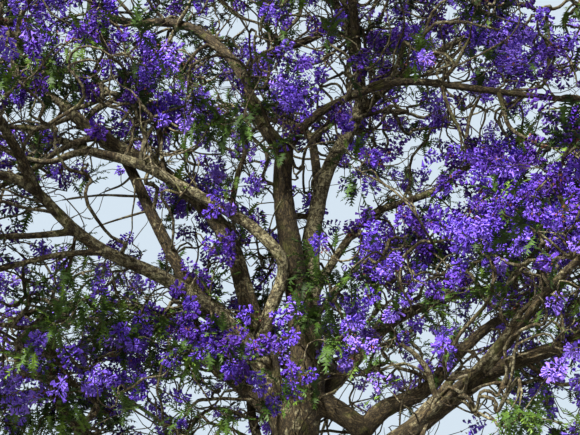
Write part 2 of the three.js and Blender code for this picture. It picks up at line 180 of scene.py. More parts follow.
floor_mesh = bpy.data.meshes.new("floor")
corners = [(-1, -1, 0), (1, -1, 0), (1, 1, 0), (-1, 1, 0)]
floor_mesh.from_pydata([Vector(corner) * FLOOR_HALF_SIDE for corner in corners], [], [(0, 1, 2, 3)])
floor_paint, floor_finish = new_material("pale_floor")
floor_finish["Base Color"].default_value = FLOOR_COLOUR
floor_finish["Roughness"].default_value = FLOOR_ROUGHNESS
floor_mesh.materials.append(floor_paint)
stand("floor", floor_mesh)


# Trunk, stems and boughs
# One trunk with a root flare carries three stems and the boughs. Each is a single tapering limb of
# grey-brown living wood that winds towards the light, and swells where it grows out of its parent.

# Lengths and radii are in metres. The collar is the swelling at a limb's foot.
FLARE_RISE = 0.33
FLARE_SPREAD = 0.15
ROOT_LOBES = 5
LOBE_DEPTH = 0.42
LOBE_TURN = 0.6
FLARE_OVAL = 0.2
COLLAR = 0.32
COLLAR_RUN = 2.2
TAPER = 0.85
WIDEST_FOOT = 0.95
ROUTE_STEPS = 60

# Each row: name, parent, share of the parent's length where it leaves, length, radius at the foot
# and at the tip, lichen from 0 (dark brown) to 1 (pale grey), and the course: bearing and climb in
# degrees at even steps from foot to tip.
LIMBS = [
    ("trunk", None, 0, 3.72, (0.325, 0.225), 0.4, [(0, 91), (0, 91), (0, 88), (0, 77)]),
    ("stem_left", "trunk", 0.66, 1.44, (0.160, 0.138), 0.5, [(180, 66), (185, 74), (205, 80)]),
    ("stem_middle", "trunk", 0.95, 2.85, (0.165, 0.118), 0.02,
     [(235, 78), (222, 80), (190, 81), (190, 97)]),
    ("stem_right", "trunk", 0.93, 5.5, (0.138, 0.062), 0.95,
     [(30, 80), (100, 87), (20, 79), (8, 59), (8, 100), (30, 118)]),
    ("bough_left_high", "stem_left", 0.97, 5.8, (0.088, 0.046), 0.9,
     [(265, 53), (334, 66), (174, 46), (189, 26), (207, 22), (157, 20), (124, 27), (140, 25),
      (136, 24)]),
    ("bough_left_broad", "stem_left", 0.9, 4.15, (0.122, 0.074), 0.5,
     [(204, 68), (214, 72), (195, 42), (193, 25), (196, 42)]),
    ("bough_left_low", "stem_left", 0.7, 4.5, (0.112, 0.050), 0.75,
     [(205, 58), (216, 29), (208, 16), (221, 36), (216, -26)]),
    ("bough_left_cross", "bough_left_low", 0.2, 3.0, (0.088, 0.060), 0.15,
     [(200, 36), (184, 62), (164, 64), (158, 50)]),
    ("bough_left_side", "bough_left_low", 0.66, 1.9, (0.042, 0.030), 0.5,
     [(214, -17), (222, -12), (228, 6)]),
    ("bough_left_droop", "bough_left_low", 0.56, 2.1, (0.040, 0.028), 0.6,
     [(217, -8), (217, -24), (214, -28)]),
    ("bough_front_left", "bough_left_low", 0.8, 2.0, (0.060, 0.042), 0.5,
     [(250, 40), (246, 34), (244, 26)]),
    ("bough_left_bottom", "trunk", 0.52, 3.7, (0.092, 0.050), 0.4,
     [(197, 16), (198, 10), (198, 34), (200, 90)]),
    ("bough_back_stem", "trunk", 0.58, 2.2, (0.078, 0.044), 0.3,
     [(142, 26), (136, 58), (125, 80), (128, 74)]),
    ("bough_top_left", "stem_middle", 0.98, 4.05, (0.090, 0.050), 0.2,
     [(184, 52), (153, 70), (163, 44), (170, 4), (163, 46)]),
    ("bough_top", "bough_top_left", 0.26, 2.0, (0.072, 0.048), 0.3, [(17, 70), (30, 30), (34, 44)]),
    ("bough_right_level", "stem_middle", 0.96, 4.7, (0.062, 0.036), 0.35,
     [(343, 60), (345, 18), (341, -17), (341, -16), (341, 2)]),
    ("bough_inner_high", "stem_middle", 0.72, 1.35, (0.044, 0.028), 0.4, [(262, 58), (240, 46)]),
    ("bough_front_high", "stem_right", 0.78, 3.7, (0.066, 0.042), 0.4,
     [(262, 56), (258, 38), (246, 16), (240, 2)]),
    ("bough_front_high_right", "bough_front_high", 0.42, 2.5, (0.054, 0.040), 0.4,
     [(292, 30), (300, 14), (300, 2)]),
    ("bough_crown_right", "stem_right", 0.66, 2.5, (0.060, 0.042), 0.4, [(8, 50), (2, 36), (0, 22)]),
    ("bough_inner_right", "stem_right", 0.12, 1.15, (0.040, 0.027), 0.6, [(306, 44), (326, 30)]),
    ("bough_right_rising", "stem_right", 0.19, 3.6, (0.060, 0.042), 0.65,
     [(14, 62), (4, 56), (-10, 14), (0, 40), (0, 18)]),
    ("bough_back_high", "stem_right", 0.4, 3.9, (0.076, 0.046), 0.4,
     [(84, 50), (96, 56), (120, 30), (130, 16)]),
    ("bough_back_high_right", "bough_back_high", 0.45, 2.3, (0.058, 0.042), 0.4,
     [(60, 44), (50, 30), (44, 16)]),
    ("bough_right_drop", "trunk", 0.87, 0.86, (0.128, 0.114), 0.1, [(352, -14), (346, -44)]),
    ("bough_right_sweep", "bough_right_drop", 0.97, 2.5, (0.114, 0.056), 0.25,
     [(15, 54), (12, 20), (16, 48), (20, 40), (24, 28)]),
    ("bough_right_low", "trunk", 0.52, 4.5, (0.150, 0.066), 0.3,
     [(350, 36), (336, 31), (345, 35), (344, 15), (338, 28)]),
    ("bough_right_front", "bough_right_low", 0.27, 2.3, (0.064, 0.042), 0.5,
     [(328, 32), (328, 36), (332, 52)]),
    ("bough_front_right", "bough_right_low", 0.5, 2.5, (0.058, 0.042), 0.5,
     [(318, 32), (304, 38), (296, 16)]),
    ("bough_back_low", "trunk", 0.7, 4.5, (0.118, 0.058), 0.4, [(90, 34), (84, 36), (76, 10), (72, 4)]),
    ("bough_back_right", "trunk", 0.82, 4.5, (0.108, 0.056), 0.4,
     [(50, 34), (42, 42), (38, 22), (30, 14)]),
    ("bough_back_left", "stem_left", 0.4, 4.4, (0.104, 0.054), 0.4,
     [(150, 34), (138, 40), (130, 20), (128, 10)]),
]


def heading(bearing, climb):
    """The way of a bearing and a climb, both in degrees."""
    turn = np.radians(bearing)
    rise = np.radians(climb)
    level = np.cos(rise)
    return np.stack([np.cos(turn) * level, np.sin(turn) * level, np.sin(rise)], axis=-1)


def eased(share):
    """Softens a share from 0 to 1 at both of its ends."""
    share = np.clip(share, 0, 1)
    return share * share * (3 - 2 * share)


def unit(ways):
    """Ways of length one."""
    return ways / np.maximum(np.linalg.norm(ways, axis=-1, keepdims=True), 1e-9)


def limb_route(foot, length, course):
    """The line that a limb follows, as ROUTE_STEPS + 1 points."""
    course = np.array(course, dtype=float)
    place = (np.arange(ROUTE_STEPS) + 0.5) / ROUTE_STEPS * (len(course) - 1)
    before = np.floor(place).astype(int)
    share = eased(place - before)[:, None]
    bearing, climb = (course[before] * (1 - share) + course[before + 1] * share).T
    steps = heading(bearing, climb) * length / ROUTE_STEPS
    return foot + np.concatenate([np.zeros((1, 3)), np.cumsum(steps, axis=0)])


def limb_girths(length, radius, parent_girth):
    """A limb's radius at each point of its route, no wider at its foot than its parent allows."""
    share = np.linspace(0, 1, ROUTE_STEPS + 1)
    foot, tip = radius
    collar = COLLAR * np.exp(-share * length / (COLLAR_RUN * foot)) if parent_girth else 0
    swollen = (foot + (tip - foot) * share ** TAPER) * (1 + collar)
    return np.minimum(swollen, WIDEST_FOOT * parent_girth) if parent_girth else swollen


limbs = {}
for name, parent, leaves_at, length, radius, lichen, course in LIMBS:
    foot = np.zeros(3)
    parent_girth = 0
    if parent:
        step = round(leaves_at * ROUTE_STEPS)
        foot = limbs[parent]["route"][step]
        parent_girth = limbs[parent]["girths"][step]
    limbs[name] = {
        "route": limb_route(foot, length, course),
        "girths": limb_girths(length, radius, parent_girth),
        "length": length,
        "lichen": lichen,
    }


def strands_object(name, strands):
    """An object of open lines. A strand is its points and its girth at each of them."""
    points = np.concatenate([points for points, _ in strands])
    girths = np.concatenate([girths for _, girths in strands])
    ends = np.cumsum([len(points) for points, _ in strands])
    firsts = np.setdiff1d(np.arange(len(points) - 1), ends - 1)
    mesh = bpy.data.meshes.new(name)
    mesh.from_pydata(points.tolist(), np.stack([firsts, firsts + 1], axis=1).tolist(), [])
    girth = mesh.attributes.new("girth", "FLOAT", "POINT")
    girth.data.foreach_set("value", girths.astype(np.float32))
    return stand(name, mesh)


def new_tree(name, **inputs):
    """An empty Geometry Nodes tree that takes in a geometry and the named inputs."""
    tree = bpy.data.node_groups.new(name, "GeometryNodeTree")
    tree.interface.new_socket("Geometry", in_out="OUTPUT", socket_type="NodeSocketGeometry")
    for label, kind in {"Geometry": "Geometry", **inputs}.items():
        tree.interface.new_socket(label, in_out="INPUT", socket_type=f"NodeSocket{kind}")
    return tree


def finish_tree(lay, given, geometry):
    """Ends a tree: what it has laid out becomes a real mesh with its finish on."""
    real = lay.add("GeometryNodeRealizeInstances", Geometry=geometry)
    finish = lay.add("GeometryNodeSetMaterial", Geometry=real.outputs["Geometry"],
                     Material=given["Finish"])
    lay.add("NodeGroupOutput", Geometry=finish.outputs["Geometry"])


def sleeve_tree():
    """Geometry Nodes that put a closed round sleeve on each strand, as thick as its girth."""
    tree = new_tree("sleeve", Sides="Int", Finish="Material")
    lay = Nodes(tree)
    given = lay.add("NodeGroupInput").outputs
    strands = lay.add("GeometryNodeMeshToCurve", Mesh=given["Geometry"])
    outline = lay.add("GeometryNodeCurvePrimitiveCircle", Resolution=given["Sides"], Radius=1)
    girth = lay.add("GeometryNodeInputNamedAttribute", data_type="FLOAT", Name="girth")
    sleeve = lay.add("GeometryNodeCurveToMesh", Curve=strands.outputs["Curve"],
                     Profile_Curve=outline.outputs["Curve"], Scale=girth.outputs["Attribute"],
                     Fill_Caps=True)
    finish_tree(lay, given, sleeve.outputs["Mesh"])
    return tree


def keep_shape(made):
    """Turns an object with modifiers into one with the plain mesh that they make."""
    shown = made.evaluated_get(bpy.context.evaluated_depsgraph_get())
    mesh = bpy.data.meshes.new_from_object(shown)
    made.modifiers.clear()
    made.data = mesh


def apply_tree(made, tree, settings):
    """Runs a Geometry Nodes tree on an object and keeps the result as its plain mesh."""
    grow = made.modifiers.new(tree.name, "NODES")
    grow.node_group = tree
    for socket in tree.interface.items_tree:
        if socket.in_out == "INPUT" and socket.name in settings:
            grow[socket.identifier] = settings[socket.name]
    keep_shape(made)


# Large odd numbers that scramble a cell of the noise into one that looks random, then the
# largest that comes out of it, and half of that.
CELL_SCRAMBLE = (73856093, 19349663, 83492791)
SEED_SCRAMBLE = 15485863
SCRAMBLES = ((13, 1274126177), (16, 668265263))
LARGEST, HALF_LARGEST = 0xFFFFFFFF, 0x7FFFFFFF


def smooth_noise(places, seed):
    """Soft noise from -1 to 1, with lumps about one unit across."""
    cell = np.floor(places).astype(np.int64)
    fade = eased(places - cell)
    total = np.zeros(len(places))
    for corner in itertools.product((0, 1), repeat=3):
        x, y, z = ((cell + corner) * CELL_SCRAMBLE).T
        mixed = x ^ y ^ z ^ (seed * SEED_SCRAMBLE)
        for shift, scramble in SCRAMBLES:
            mixed = (mixed ^ (mixed >> shift)) * scramble & LARGEST
        weight = np.prod(np.where(corner, fade, 1 - fade), axis=1)
        total += weight * (mixed / HALF_LARGEST - 1)
    return total


def finder_of(points):
    """Finds the nearest of some points."""
    finder = kdtree.KDTree(len(points))
    for index, point in enumerate(points):
        finder.insert(point, index)
    finder.balance()
    return finder


# The limbs' skins are merged, so that each limb flows into its parent, and then given the bark's
# relief: long low flutes and swellings that follow the limb, and finer knobs.
SKIN_GRID = 0.018
SKIN_SIDES = 20
SKIN_SMOOTHING = (0.5, 6)
BELOW_GROUND = 0.12
RELIEF_SHARE = 0.085
RELIEF_MOST = 0.015
FLUTE_LENGTH = 0.55
FLUTE_WIDTH = 0.5
FLUTE_SHIFT = 40
KNOB_SIZE = 0.12
FINE_KNOB_SIZE = KNOB_SIZE * 0.4
FLUTE_DEPTH, KNOB_DEPTH, FINE_KNOB_DEPTH = 0.6, 0.5, 0.35
FLUTE_SEED, KNOB_SEED, FINE_KNOB_SEED = 1, 2, 3
LIMB_SHIFT = 7.3

sleeves = sleeve_tree()
strands = []
for name, limb in limbs.items():
    points, girths = limb["route"], limb["girths"]
    if name == "trunk":
        points = np.concatenate([points[:1] - [[0, 0, BELOW_GROUND]], points])
        girths = np.concatenate([girths[:1], girths])
    strands.append((points, girths))
skin = strands_object("bark_skin", strands)
apply_tree(skin, sleeves, {"Sides": SKIN_SIDES})
merge = skin.modifiers.new("merge", "REMESH")
merge.mode = "VOXEL"
merge.voxel_size = SKIN_GRID
flow = skin.modifiers.new("flow", "SMOOTH")
flow.factor, flow.iterations = SKIN_SMOOTHING
keep_shape(skin)

# Where each point of the skin lies: on which limb, how far along it and which way round it.
NEAREST_KNOTS = 12

knots = np.concatenate([limb["route"] for limb in limbs.values()])
knot_girths = np.concatenate([limb["girths"] for limb in limbs.values()])
knot_limb = np.repeat(np.arange(len(limbs)), ROUTE_STEPS + 1)
knot_along = np.concatenate([
    np.linspace(0, limb["length"], ROUTE_STEPS + 1) for limb in limbs.values()])
knot_way = np.concatenate([unit(np.gradient(limb["route"], axis=0)) for limb in limbs.values()])
knot_side = np.empty_like(knot_way)
for index, way in enumerate(knot_way):
    if index % (ROUTE_STEPS + 1) == 0:
        side = np.eye(3)[np.argmin(np.abs(way))]
    side = unit(side - way * (side @ way))
    knot_side[index] = side
knot_finder = finder_of(knots)


def nearest_knots(places):
    """For each place, the knot of the limb whose surface is nearest."""
    found = np.array([
        min((distance - knot_girths[index], index)
            for _, index, distance in knot_finder.find_n(place, NEAREST_KNOTS))
        for place in places.tolist()
    ])
    return found[:, 1].astype(int), found[:, 0]


def read_vectors(collection, field):
    """The vectors that a mesh keeps, as rows of an array."""
    values = np.empty(len(collection) * 3, dtype=np.float32)
    collection.foreach_get(field, values)
    return values.reshape(-1, 3).astype(float)


def write_attribute(mesh, name, kind, values):
    """Stores a value at each of a mesh's points."""
    store = mesh.attributes.new(name, kind, "POINT")
    field = "vector" if kind == "FLOAT_VECTOR" else "value"
    store.data.foreach_set(field, np.asarray(values, dtype=np.float32).ravel())


places = read_vectors(skin.data.vertices, "co")
normals = read_vectors(skin.data.vertex_normals, "vector")
near, _ = nearest_knots(places)
way, side = knot_way[near], knot_side[near]
out = places - knots[near]
along = knot_along[near] + np.sum(out * way, axis=1) + knot_limb[near] * LIMB_SHIFT
out = unit(out - way * np.sum(out * way, axis=1, keepdims=True))
across = np.cross(way, side)
round_limb = np.stack([np.sum(out * side, axis=1), np.sum(out * across, axis=1)], axis=1)
girth = knot_girths[near]
flute_place = np.column_stack([round_limb / FLUTE_WIDTH, along / FLUTE_LENGTH])
relief = FLUTE_DEPTH * smooth_noise(flute_place + FLUTE_SHIFT, FLUTE_SEED)
relief += KNOB_DEPTH * smooth_noise(places / KNOB_SIZE, KNOB_SEED)
relief += FINE_KNOB_DEPTH * smooth_noise(places / FINE_KNOB_SIZE, FINE_KNOB_SEED)
places = places + normals * (relief * np.minimum(girth * RELIEF_SHARE, RELIEF_MOST))[:, None]
turn = np.arctan2(places[:, 1], places[:, 0])
lobes = 1 + LOBE_DEPTH * np.cos(ROOT_LOBES * turn + LOBE_TURN) + FLARE_OVAL * np.cos(2 * turn)
flare = FLARE_SPREAD * np.exp(-np.maximum(places[:, 2], 0) / FLARE_RISE) * lobes
flare *= knot_limb[near] == 0
places[:, :2] += unit(places[:, :2]) * flare[:, None]
lichen = np.array([limb["lichen"] for limb in limbs.values()])[knot_limb[near]]
bark_place = np.column_stack([round_limb * girth[:, None], along])

# The bark: finely cracked along the limb, dark brown underneath, with pale grey lichen that covers
# some limbs nearly whole, and green moss in patches. Lichen and moss stand where their noise is
# past its edge, and a mottle breaks the lichen up.
CRACK_WIDTH = 0.034
CRACK_STRETCH = 0.4
CRACK_EDGE = 0.12
LICHEN_SIZE = 0.16
LICHEN_EDGES = (0.72, 0.34)
LICHEN_SOFTNESS = (-0.03, 0.07)
MOTTLE_SIZE = 0.04
MOTTLE_EDGE = (0.46, 0.57)
MOTTLE_LEAST = 0.04
MOSS_FINENESS = 0.7 / LICHEN_SIZE
MOSS_EDGE = (0.56, 0.68)
SPECKLE_FINENESS = 70.0
CRACK_HEIGHT = 0.8
SPECKLE_HEIGHT = 0.5
# Detail, roughness and distortion of each noise.
CRACK_NOISE = (4, 0.65, 0.5)
LICHEN_NOISE = (5, 0.68, 0.3)
MOTTLE_NOISE = (4, 0.7, 0.6)
MOSS_NOISE = (4, 0.6, 0.2)
SPECKLE_NOISE = (2, 0.6)
# Colours and finish.
MOSS_COVER = 0.55
LICHEN_COVER = (0.45, 0.95)
BARK_ROUGHNESS = (0.8, 0.95)
BARK_GLOSS = 0.25
BUMP_STRENGTH = 0.9
BUMP_DEPTH = 0.01
DARK_BARK = (20, 14, 6)
BROWN_BARK = (86, 73, 47)
LICHEN_GREY = (164, 156, 118)
MOSS_GREEN = (80, 84, 32)


def paint(red, green, blue):
    """A colour as a painter mixes it, 0 to 255, in the shader's own numbers."""
    values = np.array([red, green, blue]) / 255
    linear = np.where(values < 0.04045, values / 12.92, ((values + 0.055) / 1.055) ** 2.4)
    return (*linear, 1)


def bark_grain_group():
    """Cracks that run along the limb, blotches of lichen and moss, and the height of it all."""
    group = bpy.data.node_groups.new("bark_grain", "ShaderNodeTree")
    inputs = {"Place": "Vector", "Spot": "Vector", "Crack Width": "Float", "Lichen": "Float"}
    for label, kind in inputs.items():
        group.interface.new_socket(label, in_out="INPUT", socket_type=f"NodeSocket{kind}")
    for label in ("Cracks", "Lichen Mask", "Moss Mask", "Height"):
        group.interface.new_socket(label, in_out="OUTPUT", socket_type="NodeSocketFloat")
    shade = Nodes(group)
    given = shade.add("NodeGroupInput").outputs
    stretched = shade.add("ShaderNodeVectorMath", operation="MULTIPLY")
    shade.feed(stretched.inputs[0], given["Place"])
    shade.feed(stretched.inputs[1], (1, 1, CRACK_STRETCH))
    fineness = shade.math("DIVIDE", 1.0, given["Crack Width"])
    grain = shade.noise(stretched.outputs["Vector"], fineness, *CRACK_NOISE)
    cracks = shade.ranged(shade.math("ABSOLUTE", shade.math("SUBTRACT", grain, 0.5)), 0, CRACK_EDGE)
    blotch = shade.noise(given["Spot"], 1 / LICHEN_SIZE, *LICHEN_NOISE)
    edge = shade.ranged(given["Lichen"], 0, 1, *LICHEN_EDGES)
    lichen = shade.ranged(shade.math("SUBTRACT", blotch, edge), *LICHEN_SOFTNESS)
    mottle = shade.noise(given["Spot"], 1 / MOTTLE_SIZE, *MOTTLE_NOISE)
    lichen = shade.math("MULTIPLY", lichen, shade.ranged(mottle, *MOTTLE_EDGE, MOTTLE_LEAST, 1))
    moss = shade.ranged(shade.noise(given["Spot"], MOSS_FINENESS, *MOSS_NOISE), *MOSS_EDGE)
    speckle = shade.noise(given["Spot"], SPECKLE_FINENESS, *SPECKLE_NOISE)
    speckle = shade.math("MULTIPLY", speckle, SPECKLE_HEIGHT)
    height = shade.math("ADD", shade.math("MULTIPLY", cracks, CRACK_HEIGHT), speckle)
    shade.add("NodeGroupOutput", Cracks=cracks, Lichen_Mask=lichen, Moss_Mask=moss, Height=height)
    return group


bark_grain = bark_grain_group()


def bark_material(name, lichen, dark, brown, grey, place_name=None):
    """Bark whose cracks run along the place kept as place_name, or upwards if there is none. The
    lichen is a number, or the name of an attribute."""
    material, finish = new_material(name)
    shade = Nodes(material.node_tree)
    spot = shade.spot()
    bark = shade.add(
        "ShaderNodeGroup", node_tree=bark_grain, Spot=spot, Crack_Width=CRACK_WIDTH,
        Place=shade.stored(place_name, "Vector") if place_name else spot,
        Lichen=shade.stored(lichen, "Fac") if isinstance(lichen, str) else lichen).outputs
    wood = shade.mixed(bark["Cracks"], paint(*dark), paint(*brown))
    moss_share = shade.math("MULTIPLY", bark["Moss Mask"], MOSS_COVER)
    mossy = shade.mixed(moss_share, wood, paint(*MOSS_GREEN))
    grey_share = shade.ranged(bark["Cracks"], 0, 1, *LICHEN_COVER)
    grey_share = shade.math("MULTIPLY", bark["Lichen Mask"], grey_share)
    shade.feed(finish["Base Color"], shade.mixed(grey_share, mossy, paint(*grey)))
    shade.feed(finish["Roughness"], shade.ranged(bark["Lichen Mask"], 0, 1, *BARK_ROUGHNESS))
    finish["Specular IOR Level"].default_value = BARK_GLOSS
    bump = shade.add("ShaderNodeBump", Strength=BUMP_STRENGTH, Distance=BUMP_DEPTH,
                     Height=bark["Height"])
    shade.feed(finish["Normal"], bump.outputs["Normal"])
    return material


limb_bark = bark_material("limb_bark", "lichen", DARK_BARK, BROWN_BARK, LICHEN_GREY, "bark_place")

# The skin is kept as three pieces, each under 200,000 triangles.
faces = np.empty(len(skin.data.loops), dtype=np.int32)
skin.data.loops.foreach_get("vertex_index", faces)
faces = faces.reshape(-1, 4)
face_limb = knot_limb[near][faces[:, 0]]
limb_names = list(limbs)


def bark_group(name):
    """The piece of the skin that a limb belongs to."""
    if name.startswith(("trunk", "stem")):
        return "trunk_and_stems"
    return "left_boughs" if "left" in name or "back_stem" in name else "right_boughs"


def mesh_of(name, places, faces):
    """A mesh from arrays of places and of faces that all have as many corners."""
    mesh = bpy.data.meshes.new(name)
    sides = faces.shape[1]
    mesh.vertices.add(len(places))
    mesh.vertices.foreach_set("co", np.asarray(places, dtype=np.float32).ravel())
    mesh.loops.add(faces.size)
    mesh.loops.foreach_set("vertex_index", faces.astype(np.int32).ravel())
    mesh.polygons.add(len(faces))
    mesh.polygons.foreach_set("loop_start", np.arange(0, faces.size, sides, dtype=np.int32))
    mesh.polygons.foreach_set("use_smooth", np.ones(len(faces), dtype=bool))
    mesh.update(calc_edges=True)
    return mesh


ON_GROUND = 1e-5


def cut_at_ground(mesh):
    """Cuts off what lies below the ground and closes the cut."""
    shell = bmesh.new()
    shell.from_mesh(mesh)
    everything = shell.verts[:] + shell.edges[:] + shell.faces[:]
    bmesh.ops.bisect_plane(shell, geom=everything, plane_co=(0, 0, 0), plane_no=(0, 0, 1),
                           clear_inner=True)
    rim = [edge for edge in shell.edges
           if edge.is_boundary and all(abs(corner.co.z) < ON_GROUND for corner in edge.verts)]
    bmesh.ops.holes_fill(shell, edges=rim)
    shell.to_mesh(mesh)
    shell.free()


for group in ["trunk_and_stems", "left_boughs", "right_boughs"]:
    members = [index for index, name in enumerate(limb_names) if bark_group(name) == group]
    kept = faces[np.isin(face_limb, members)]
    used, kept = np.unique(kept, return_inverse=True)
    mesh = mesh_of(f"bark_{group}", places[used], kept.reshape(-1, 4))
    write_attribute(mesh, "lichen", "FLOAT", lichen[used])
    write_attribute(mesh, "bark_place", "FLOAT_VECTOR", bark_place[used])
    if group == "trunk_and_stems":
        cut_at_ground(mesh)
    mesh.materials.append(limb_bark)
    bark = stand(f"bark_{group}", mesh)
    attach(bark, "root")
    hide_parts(*[limb_names[index] for index in members])
bpy.data.objects.remove(skin)


# Smaller boughs and twigs
# Smaller boughs of the same living wood leave the limbs. From the tips and sides of them all, thin
# grey-brown twigs wind outwards and fork again and again, until each ends in a flower panicle, a
# tuft of leaves or a bare tip.

# Radii: at a twig's tips, at its very end, and what is left of them past a fork.
TWIG_TIP = 0.007
TWIG_END = 0.0045
TWIG_THINNING = 0.85
FORK_THINNING = 0.88
STEM_GIRTH = 0.8
# Lengths: the longest and shortest run between two forks, how far a twig stops short of its
# spray's place, and how far inside its bough the first one starts. A stiff twig turns slowly.
TWIG_REACH = 0.9
SHORTEST_TWIG = 0.12
TIP_SHORTFALL = 0.16
STEM_START = 0.09
STIFFNESS = 0.5
# How a mass is filled: ground that each spray covers, the least space between two, the hollow at
# its middle, how often a place is tried, and how low sprays hang.
ROOM = 0.075
SPACING = 0.2
HOLLOW = 0.12
CHOICES = 26
FLATNESS = 0.85
LOWEST = 2.3
SEED = 4100
# How twigs wind: size and reach of each wave, and the run over which it starts.
WIND_SIZES = [(0.5, 0.36), (0.25, 0.18), (0.14, 0.055)]
WIND_STARTS_OVER = 0.3
WIND_SEED = 20
WIND_SHIFT = 9.7
TWIG_STEP = 0.065
TWIG_KNOBS = 0.25
TWIG_KNOB_SEED = 5
TIP_STEPS = 5

# Each row: name, limb, way from the limb's tip to the mass's middle (bearing, climb, distance),
# half width, and how many times the usual number of sprays it has.
MASSES = [
    ("mass_left_high", "bough_left_high", (169, 13, 0.91), 1.6, 1),
    ("mass_left_broad", "bough_left_broad", (200, 58, 0.95), 1.5, 1),
    ("mass_left_cross", "bough_left_cross", (150, 66, 0.85), 1.4, 1),
    ("mass_left_low", "bough_left_low", (196, 14, 1.05), 1.45, 1),
    ("mass_left_side", "bough_left_side", (210, 10, 0.7), 1.15, 1),
    ("mass_left_droop", "bough_left_droop", (190, -14, 0.7), 1.2, 1),
    ("mass_front_left", "bough_front_left", (236, 16, 1.0), 1.55, 1),
    ("mass_left_bottom", "bough_left_bottom", (170, 30, 0.42), 1.45, 1),
    ("mass_back_stem", "bough_back_stem", (170, 10, 0.56), 1.3, 1),
    ("mass_top_left", "bough_top_left", (120, 36, 0.85), 1.65, 1),
    ("mass_top", "bough_top", (20, 62, 1.15), 1.65, 1),
    ("mass_top_middle", "stem_right", (150, 62, 1.25), 1.65, 1),
    ("mass_right_level", "bough_right_level", (345, 12, 0.95), 1.55, 1),
    ("mass_inner_high", "bough_inner_high", (235, 50, 0.56), 1.15, 1.2),
    ("mass_front_high_left", "bough_front_high", (226, 6, 1.0), 1.65, 1),
    ("mass_front_high_right", "bough_front_high_right", (300, 4, 0.9), 1.65, 1),
    ("mass_crown_right", "bough_crown_right", (352, 24, 0.95), 1.65, 1.5),
    ("mass_inner_right", "bough_inner_right", (330, 20, 0.56), 1.15, 1),
    ("mass_right_rising", "bough_right_rising", (350, -20, 0.75), 1.5, 1),
    ("mass_back_high_left", "bough_back_high", (136, 10, 1.0), 1.75, 1),
    ("mass_back_high_right", "bough_back_high_right", (38, 12, 1.0), 1.7, 1),
    ("mass_right_sweep", "bough_right_sweep", (60, 62, 0.65), 1.25, 1),
    ("mass_right_low", "bough_right_low", (0, 10, 0.95), 1.5, 1),
    ("mass_right_front", "bough_right_front", (330, 50, 0.6), 1.2, 1.2),
    ("mass_front_right", "bough_front_right", (292, 18, 0.9), 1.45, 1),
    ("mass_back_low", "bough_back_low", (84, -4, 1.0), 1.85, 1),
    ("mass_back_right", "bough_back_right", (30, 0, 1.0), 1.8, 1.2),
    ("mass_back_left", "bough_back_left", (134, 0, 1.0), 1.85, 1),
]

